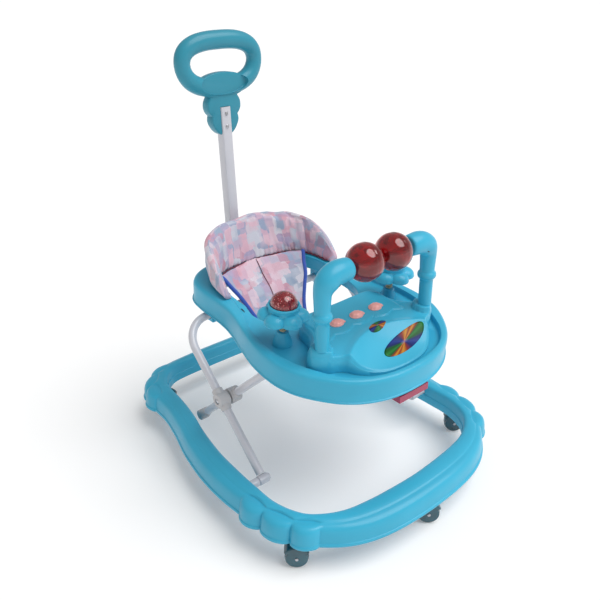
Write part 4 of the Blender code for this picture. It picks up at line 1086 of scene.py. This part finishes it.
def back_at(u):
    """Foot, head, outward direction, height and half thickness of the pad at u."""
    last = len(BACK_PATH) - 1
    foot, head = (Vector(half_curve(path, u, free=True)) for path in (BACK_FOOT, BACK_PATH))
    x2, y2 = half_curve(BACK_PATH, min(u + 0.05, last), free=True)
    x1, y1 = half_curve(BACK_PATH, max(u - 0.05, 0.0), free=True)
    along = Vector((x2 - x1, y2 - y1)).normalized()
    out = Vector((-along.y, along.x))
    if out.dot(head - Vector((0.0, 0.06))) < 0:
        out = -out
    top = half_curve([(0.0, t) for t in BACK_TOP], u, free=True)[1]
    half = half_curve([(0.0, t) for t in BACK_HALF], u, free=True)[1]
    return foot, head, out, top, half


def build_backrest():
    last = len(BACK_PATH) - 1
    per = 12
    order = [(1, i / per) for i in range(per * last + 1)]
    order += [(-1, i / per) for i in reversed(range(per * last))]
    shape = [(-1.0, i / 12 * 0.82) for i in range(13)]
    shape += [(-math.cos(math.pi * i / 12), 0.82 + 0.18 * math.sin(math.pi * i / 12))
              for i in range(1, 12)]
    shape += [(1.0, (1 - i / 12) * 0.82) for i in range(13)]
    bm = bmesh.new()
    layer = bm.verts.layers.float_vector.new("cloth")
    rows = []
    run = 0.0
    previous = None
    for side, u in order:
        foot, head, out, top, half = back_at(u)
        here = Vector((side * head.x, head.y))
        if previous is not None:
            run += (here - previous).length
        previous = here
        row = []
        for a, b in shape:
            crown = 1.0 - 0.3 * (1 - abs(a)) - 0.22 * (b < 0.15) * (0.15 - b) / 0.15
            swell = half * a * crown * (0.8 + 0.28 * math.sin(math.pi * min(b / 0.82, 1.0)))
            pucker = 0.0014 * math.exp(-b / 0.13) * math.sin(run * 620.0)
            pucker += 0.0009 * math.exp(-b / 0.3) * math.sin(run * 260.0 + 1.3)
            soft = 0.0035 * noise.noise(Vector((run * 16.0, b * top * 30.0, 3.0 * a)))
            push = pucker * (a < 0) * -1.0 + soft * (1 if a > 0 else -1) * min(b * 4, 1.0)
            lean = 1.0 - (1.0 - min(b, 1.0)) ** 1.5
            q = foot + (head - foot) * lean + out * (swell + push)
            h = 0.0006 + (top - 0.0006) * b
            if b > 0.8:
                h += 0.0022 * noise.noise(Vector((run * 22.0, 7.0, 0.0)))
            v = bm.verts.new((side * q.x, q.y, h))
            v[layer] = (run, h + 0.03 * a, 0.0)
            row.append(v)
        rows.append(row)
    count = len(shape)
    for a, b in zip(rows, rows[1:]):
        for k in range(count):
            m = (k + 1) % count
            bm.faces.new((a[k], a[m], b[m], b[k]))
    bm.faces.new(list(reversed(rows[0])))
    bm.faces.new(rows[-1])
    pad = piece("back_pad", bm, "cloth", "tray", ["seat_back"], TRAY, sharp=80)
    swell_cloth(pad, 0.006)
    smooth = pad.modifiers.new("smooth", "SUBSURF")
    smooth.levels = smooth.render_levels = 1
    path = []
    for side, u in order:
        foot, head, out, top, half = back_at(u)
        wave = 0.0007 * math.sin(len(path) * 1.9)
        q = foot - out * (half * 0.8 + 0.0012 + wave)
        path.append((side * q.x, q.y, 0.0032 + 0.001 * math.sin(len(path) * 1.1)))
    bm = sweep(path[6:-6], [0.0016] * (len(path) - 12), 8)
    piece("gather_seam", bm, "seam", "tray", matrix=TRAY)


CLOTH_FRAMES = 20
CLOTH_PRESSURE = 4.0


def swell_cloth(obj, cap):
    """Inflate a closed fabric piece with a short cloth run; no point moves more than cap."""
    mesh = obj.data
    start = [v.co.copy() for v in mesh.vertices]
    group = obj.vertex_groups.new(name="held")
    low = min(v.z for v in start)
    held = [i for i, v in enumerate(start) if v.z < low + 0.006]
    group.add(held, 1.0, "REPLACE")
    cloth = obj.modifiers.new("swell", "CLOTH")
    cloth.settings.quality = 5
    cloth.settings.use_pressure = True
    cloth.settings.uniform_pressure_force = CLOTH_PRESSURE
    cloth.settings.effector_weights.gravity = 0.0
    cloth.settings.vertex_group_mass = "held"
    cloth.settings.tension_stiffness = 8.0
    cloth.settings.compression_stiffness = 8.0
    cloth.settings.bending_stiffness = 0.6
    cloth.point_cache.frame_start = 1
    cloth.point_cache.frame_end = CLOTH_FRAMES
    scene = bpy.context.scene
    for number in range(1, CLOTH_FRAMES + 1):
        scene.frame_set(number)
    graph = bpy.context.evaluated_depsgraph_get()
    done = obj.evaluated_get(graph).to_mesh()
    moved = []
    for a, v in zip(start, done.vertices):
        step = v.co - a
        if step.length > cap:
            step *= cap / step.length
        moved.append(a + step)
    obj.evaluated_get(graph).to_mesh_clear()
    obj.modifiers.remove(cloth)
    obj.vertex_groups.remove(group)
    for v, co in zip(mesh.vertices, moved):
        v.co = co
    scene.frame_set(1)


def sling_point(u, t):
    """Point on the sling's middle surface: u along it, t from -1 to 1 across it."""
    last = len(SLING) - 1
    y, z, half, bow = open_curve(SLING, u)
    rise = 0.018 * math.sin(math.pi * u / last)
    return Vector((half * t, y + bow * t * t, z + rise * t * t))


def build_sling():
    last = len(SLING) - 1
    long_n, wide_n = 66, 24
    bm = bmesh.new()
    layer = bm.verts.layers.float_vector.new("cloth")
    grid = []
    run = 0.0
    for i in range(long_n + 1):
        u = last * i / long_n
        if i:
            run += (sling_point(u, 0) - sling_point(last * (i - 1) / long_n, 0)).length
        row = []
        for k in range(wide_n + 1):
            t = 2.0 * k / wide_n - 1.0
            p = sling_point(u, t)
            up = Vector((0.0, 0.4, 0.9))
            edge = 1.0 - abs(t) ** 4
            p += up * 0.0035 * edge * noise.noise(p * 34.0)
            gather = math.exp(-run / 0.016) + math.exp(-(0.29 - min(run, 0.29)) / 0.012)
            p += Vector((0.0, 1.0, 0.0)) * 0.0013 * gather * math.sin(k * 2.1)
            v = bm.verts.new(p)
            v[layer] = (p.x + 0.4, run + 0.11, 0.0)
            row.append(v)
        grid.append(row)
    for a, b in zip(grid, grid[1:]):
        for k in range(wide_n):
            bm.faces.new((a[k], a[k + 1], b[k + 1], b[k]))
    sling = piece("sling_cloth", bm, "cloth", "tray", ["seat_sling"], sharp=80)
    thick = sling.modifiers.new("thick", "SOLIDIFY")
    thick.thickness = 0.0038
    thick.offset = 0.0
    smooth = sling.modifiers.new("smooth", "SUBSURF")
    smooth.levels = smooth.render_levels = 1
    for side, tag in SIDES:
        path = [sling_point(last * i / 80, side * 1.01) for i in range(81)]
        bm = sweep(path, [0.0042] * len(path), 12)
        piece("leg_piping_" + tag, bm, "piping", "tray")
    path = [sling_point(last * i / 30 * 0.42, 0.02) + Vector((0.0, -0.003, 0.0012))
            for i in range(31)]
    bm = sweep(path, [0.0007] * len(path), 6)
    piece("centre_seam", bm, "seam", "tray")


# ---------------------------------------------------------------- push handle
LOOP_HALF_W = 0.0838
LOOP_HALF_H = 0.0438
LOOP_R = 0.0155
LOOP_SWELL = 0.0023
LOOP_TAPER = 0.13
LOOP_SHAPE = 0.74
LOOP_MID = 0.4147
SCREW_HEIGHTS = (0.2945, 0.32)
POLE_WALL = 0.0016
POLE_LOW = -0.024        # the pole's lower end, measured along the pole
SOCKET_LOW = -0.026
SOCKET_HIGH = 0.034
NECK_FRONT = -0.0085
NECK_BACK = 0.015
WEB_MID = -0.04         # oval web that fills the loop's lower part
WEB_HALF = (0.058, 0.025)
PANEL_MID = -0.0365
PANEL_HALF = (0.0535, 0.0205)
NECK_EDGE = ((-0.136, 0.011), (-0.133, 0.017), (-0.126, 0.0238), (-0.117, 0.0292),
             (-0.109, 0.0318), (-0.102, 0.0312), (-0.098, 0.0304), (-0.093, 0.0345),
             (-0.087, 0.0378), (-0.079, 0.039), (-0.07, 0.0376), (-0.06, 0.032))


def rounded_square(half, r, z, steps=4):
    points = []
    for q in range(4):
        cx = (half - r) * (1 if q in (0, 3) else -1)
        cy = (half - r) * (1 if q < 2 else -1)
        for i in range(steps + 1):
            a = math.pi / 2 * (q + i / steps)
            points.append((cx + r * math.cos(a), cy + r * math.sin(a), z))
    return points


def build_handle():
    low, high = POLE_LOW, POLE_TOP - POLE_Z0
    outer, inner = POLE / 2, POLE / 2 - POLE_WALL
    bm = skin([rounded_square(outer, 0.0028, low), rounded_square(outer, 0.0028, high),
               rounded_square(inner, 0.0018, high), rounded_square(inner, 0.0018, low)], True)
    piece("push_pole", bm, "tube", "handle", ["handle_pole"], HANDLE)
    low, high = SOCKET_LOW, SOCKET_HIGH
    inner = POLE / 2 + 0.0004
    outer = inner + 0.0034
    bm = skin([rounded_square(outer, 0.004, low), rounded_square(outer, 0.004, high - 0.001),
               rounded_square(outer - 0.0008, 0.0035, high), rounded_square(inner, 0.003, high),
               rounded_square(inner, 0.003, low)], True)
    piece("pole_sleeve", bm, "aqua", "tray", ["pole_socket"], HANDLE)
    for i, z in enumerate(SCREW_HEIGHTS):
        place = HANDLE @ Matrix.Translation((0.0, -POLE / 2 - 0.0001, z))
        bm = lathe([(0.0, 0.0), (0.004, 0.0), (0.004, 0.0006), (0.0032, 0.0016),
                    (0.0012, 0.0019), (0.001, 0.001), (0.0, 0.001)], 28)
        piece("pole_screw_%d" % (i + 1), bm, "steel", "handle", ["handle_screw_%d" % (i + 1)],
              place @ Matrix.Rotation(math.pi / 2, 4, "X"))
    build_grip()


def oval_ring(z, half, y, scale, count=72):
    return [(half[0] * scale * math.cos(math.tau * i / count), y,
             z + half[1] * scale * math.sin(math.tau * i / count)) for i in range(count)]


def build_grip():
    count = 96
    path = []
    radii = []
    for i in range(count):
        a = math.tau * (i + 0.5) / count
        c, s = math.cos(a), math.sin(a)
        px = LOOP_HALF_W * math.copysign(abs(c) ** LOOP_SHAPE, c)
        pz = LOOP_HALF_H * math.copysign(abs(s) ** LOOP_SHAPE, s)
        radii.append(LOOP_R + LOOP_SWELL * abs(s))
        px *= 1.0 - LOOP_TAPER * max(-pz / LOOP_HALF_H, 0.0)
        path.append((px, 0.0, LOOP_MID + pz))
    bm = sweep(path, radii, 32, closed=True)
    grip = loose(bm, HANDLE)
    outline = []
    steps = 6 * (len(NECK_EDGE) - 1)
    for i in range(steps + 1):
        z, w = open_curve(NECK_EDGE, i / 6)
        outline.append((w, LOOP_MID + z))
    outline += [(-w, z) for w, z in reversed(outline)]
    middle = LOOP_MID - 0.098
    depths = ((NECK_FRONT, 0.93), (NECK_FRONT + 0.0004, 0.96), (NECK_FRONT + 0.0014, 0.985),
              (NECK_FRONT + 0.003, 1.0), (NECK_BACK - 0.003, 1.0), (NECK_BACK - 0.0014, 0.985),
              (NECK_BACK - 0.0004, 0.96), (NECK_BACK, 0.93))
    bm = skin([[(x * k, y, middle + (z - middle) * k) for x, z in outline] for y, k in depths],
              closed=False)
    add_boolean(grip, loose(bm, HANDLE), "UNION")
    zc = LOOP_MID + WEB_MID
    bm = skin([oval_ring(zc, WEB_HALF, y, k)
               for y, k in ((-0.0085, 0.94), (-0.0082, 0.965), (-0.0074, 0.99), (-0.006, 1.0),
                            (0.006, 1.0), (0.0074, 0.99), (0.0082, 0.965), (0.0085, 0.94))],
              closed=False)
    add_boolean(grip, loose(bm, HANDLE), "UNION")
    zc = LOOP_MID + PANEL_MID
    bm = skin([oval_ring(zc, PANEL_HALF, y, k)
               for y, k in ((-0.03, 1.04), (-0.015, 1.02), (-0.0105, 1.0), (-0.0093, 0.985),
                            (-0.0087, 0.96))], closed=False)
    add_boolean(grip, loose(bm, HANDLE))
    slot = POLE / 2 + GAP
    top = POLE_TOP - POLE_Z0 + GAP
    add_boolean(grip, loose(block((2 * slot, 0.05, 0.2), (0.0, slot - 0.025, top - 0.1)), HANDLE))
    bm = taken(grip)
    piece("grip_moulding", bm, "handle", "handle", ["grip_loop"], sharp=32)


# ---------------------------------------------------------------- kept frame pieces
def finish_frame_nodes():
    looks = {"front_track": "aqua", "rear_clip_l": "aqua", "rear_clip_r": "aqua",
             "lever_guide": "aqua", "battery_box": "aqua", "height_lever": "latch"}
    for name, look in looks.items():
        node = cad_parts[name]
        for slot in node.material_slots:
            slot.material = MAT[look]
        bevel = node.modifiers.new("round", "BEVEL")
        bevel.width = 0.0012
        bevel.segments = 3


# ---------------------------------------------------------------- floor, light and camera
FLOOR_HALF = 80.0
SUN_AIM = (-0.55, 0.75, -1.5)
SUN_POWER = 2.35
SUN_SOFTNESS = math.radians(50.0)
CAMERA_AZIMUTH, CAMERA_ELEVATION, CAMERA_ROLL = -40.093, 26.366, -0.53   # degrees
CAMERA_PLACE = (-0.7782, -0.9173, 0.9347)
CAMERA_LENS = 41.03
CAMERA_SHIFT = (-0.0082, -0.0023)


def build_stage():
    bm = bmesh.new()
    bmesh.ops.create_grid(bm, x_segments=1, y_segments=1, size=FLOOR_HALF)
    mesh = bpy.data.meshes.new("floor")
    bm.to_mesh(mesh)
    bm.free()
    floor = bpy.data.objects.new("floor", mesh)
    bpy.context.scene.collection.objects.link(floor)
    n = Nodes("floor_pale")
    n.setup(Roughness=0.9, Emission_Strength=0.16)
    n.bsdf.inputs["Emission Color"].default_value = (1.0, 1.0, 1.0, 1.0)
    n.bsdf.inputs["Base Color"].default_value = (0.86, 0.86, 0.86, 1.0)
    mesh.materials.append(n.mat)
    world = bpy.data.worlds.new("studio")
    bpy.context.scene.world = world
    world.use_nodes = True
    tree = world.node_tree
    back = tree.nodes["Background"]
    coords = tree.nodes.new("ShaderNodeTexCoord")
    split = tree.nodes.new("ShaderNodeSeparateXYZ")
    fade = tree.nodes.new("ShaderNodeValToRGB")
    horizon, overhead = fade.color_ramp.elements
    horizon.color = (0.9, 0.9, 0.9, 1.0)
    overhead.position = 0.3
    overhead.color = (0.4, 0.4, 0.4, 1.0)
    tree.links.new(coords.outputs["Generated"], split.inputs["Vector"])
    tree.links.new(split.outputs["Z"], fade.inputs["Fac"])
    tree.links.new(fade.outputs["Color"], back.inputs["Color"])
    light = bpy.data.lights.new("sun", "SUN")
    light.energy = SUN_POWER
    light.angle = SUN_SOFTNESS
    sun = bpy.data.objects.new("sun", light)
    bpy.context.scene.collection.objects.link(sun)
    sun.rotation_euler = Vector(SUN_AIM).to_track_quat("-Z", "Y").to_euler()


def build_camera():
    azimuth, elevation, roll = (math.radians(v) for v in
                                (CAMERA_AZIMUTH, CAMERA_ELEVATION, CAMERA_ROLL))
    back = Vector((math.sin(azimuth) * math.cos(elevation),
                   -math.cos(azimuth) * math.cos(elevation), math.sin(elevation)))
    flat = Vector((math.cos(azimuth), math.sin(azimuth), 0.0))
    rise = back.cross(flat)
    right = flat * math.cos(roll) + rise * math.sin(roll)
    up = back.cross(right)
    camera = bpy.data.cameras.new("camera")
    camera.sensor_width = 36.0
    camera.lens = CAMERA_LENS
    camera.shift_x, camera.shift_y = CAMERA_SHIFT
    obj = bpy.data.objects.new("camera", camera)
    bpy.context.scene.collection.objects.link(obj)
    turn = Matrix((right, up, back)).transposed().to_4x4()
    obj.matrix_world = Matrix.Translation(CAMERA_PLACE) @ turn
    bpy.context.scene.camera = obj
    bpy.context.scene.view_settings.view_transform = "Standard"


def main():
    build_camera()
    build_stage()
    build_ring()
    for name, (x, y, heading) in CASTERS.items():
        build_caster(name, x, y, heading)
    build_legs()
    build_tray()
    build_console()
    build_arch()
    for side, tag in SIDES:
        build_flower(side, tag)
    build_backrest()
    build_sling()
    build_handle()
    finish_frame_nodes()


main()
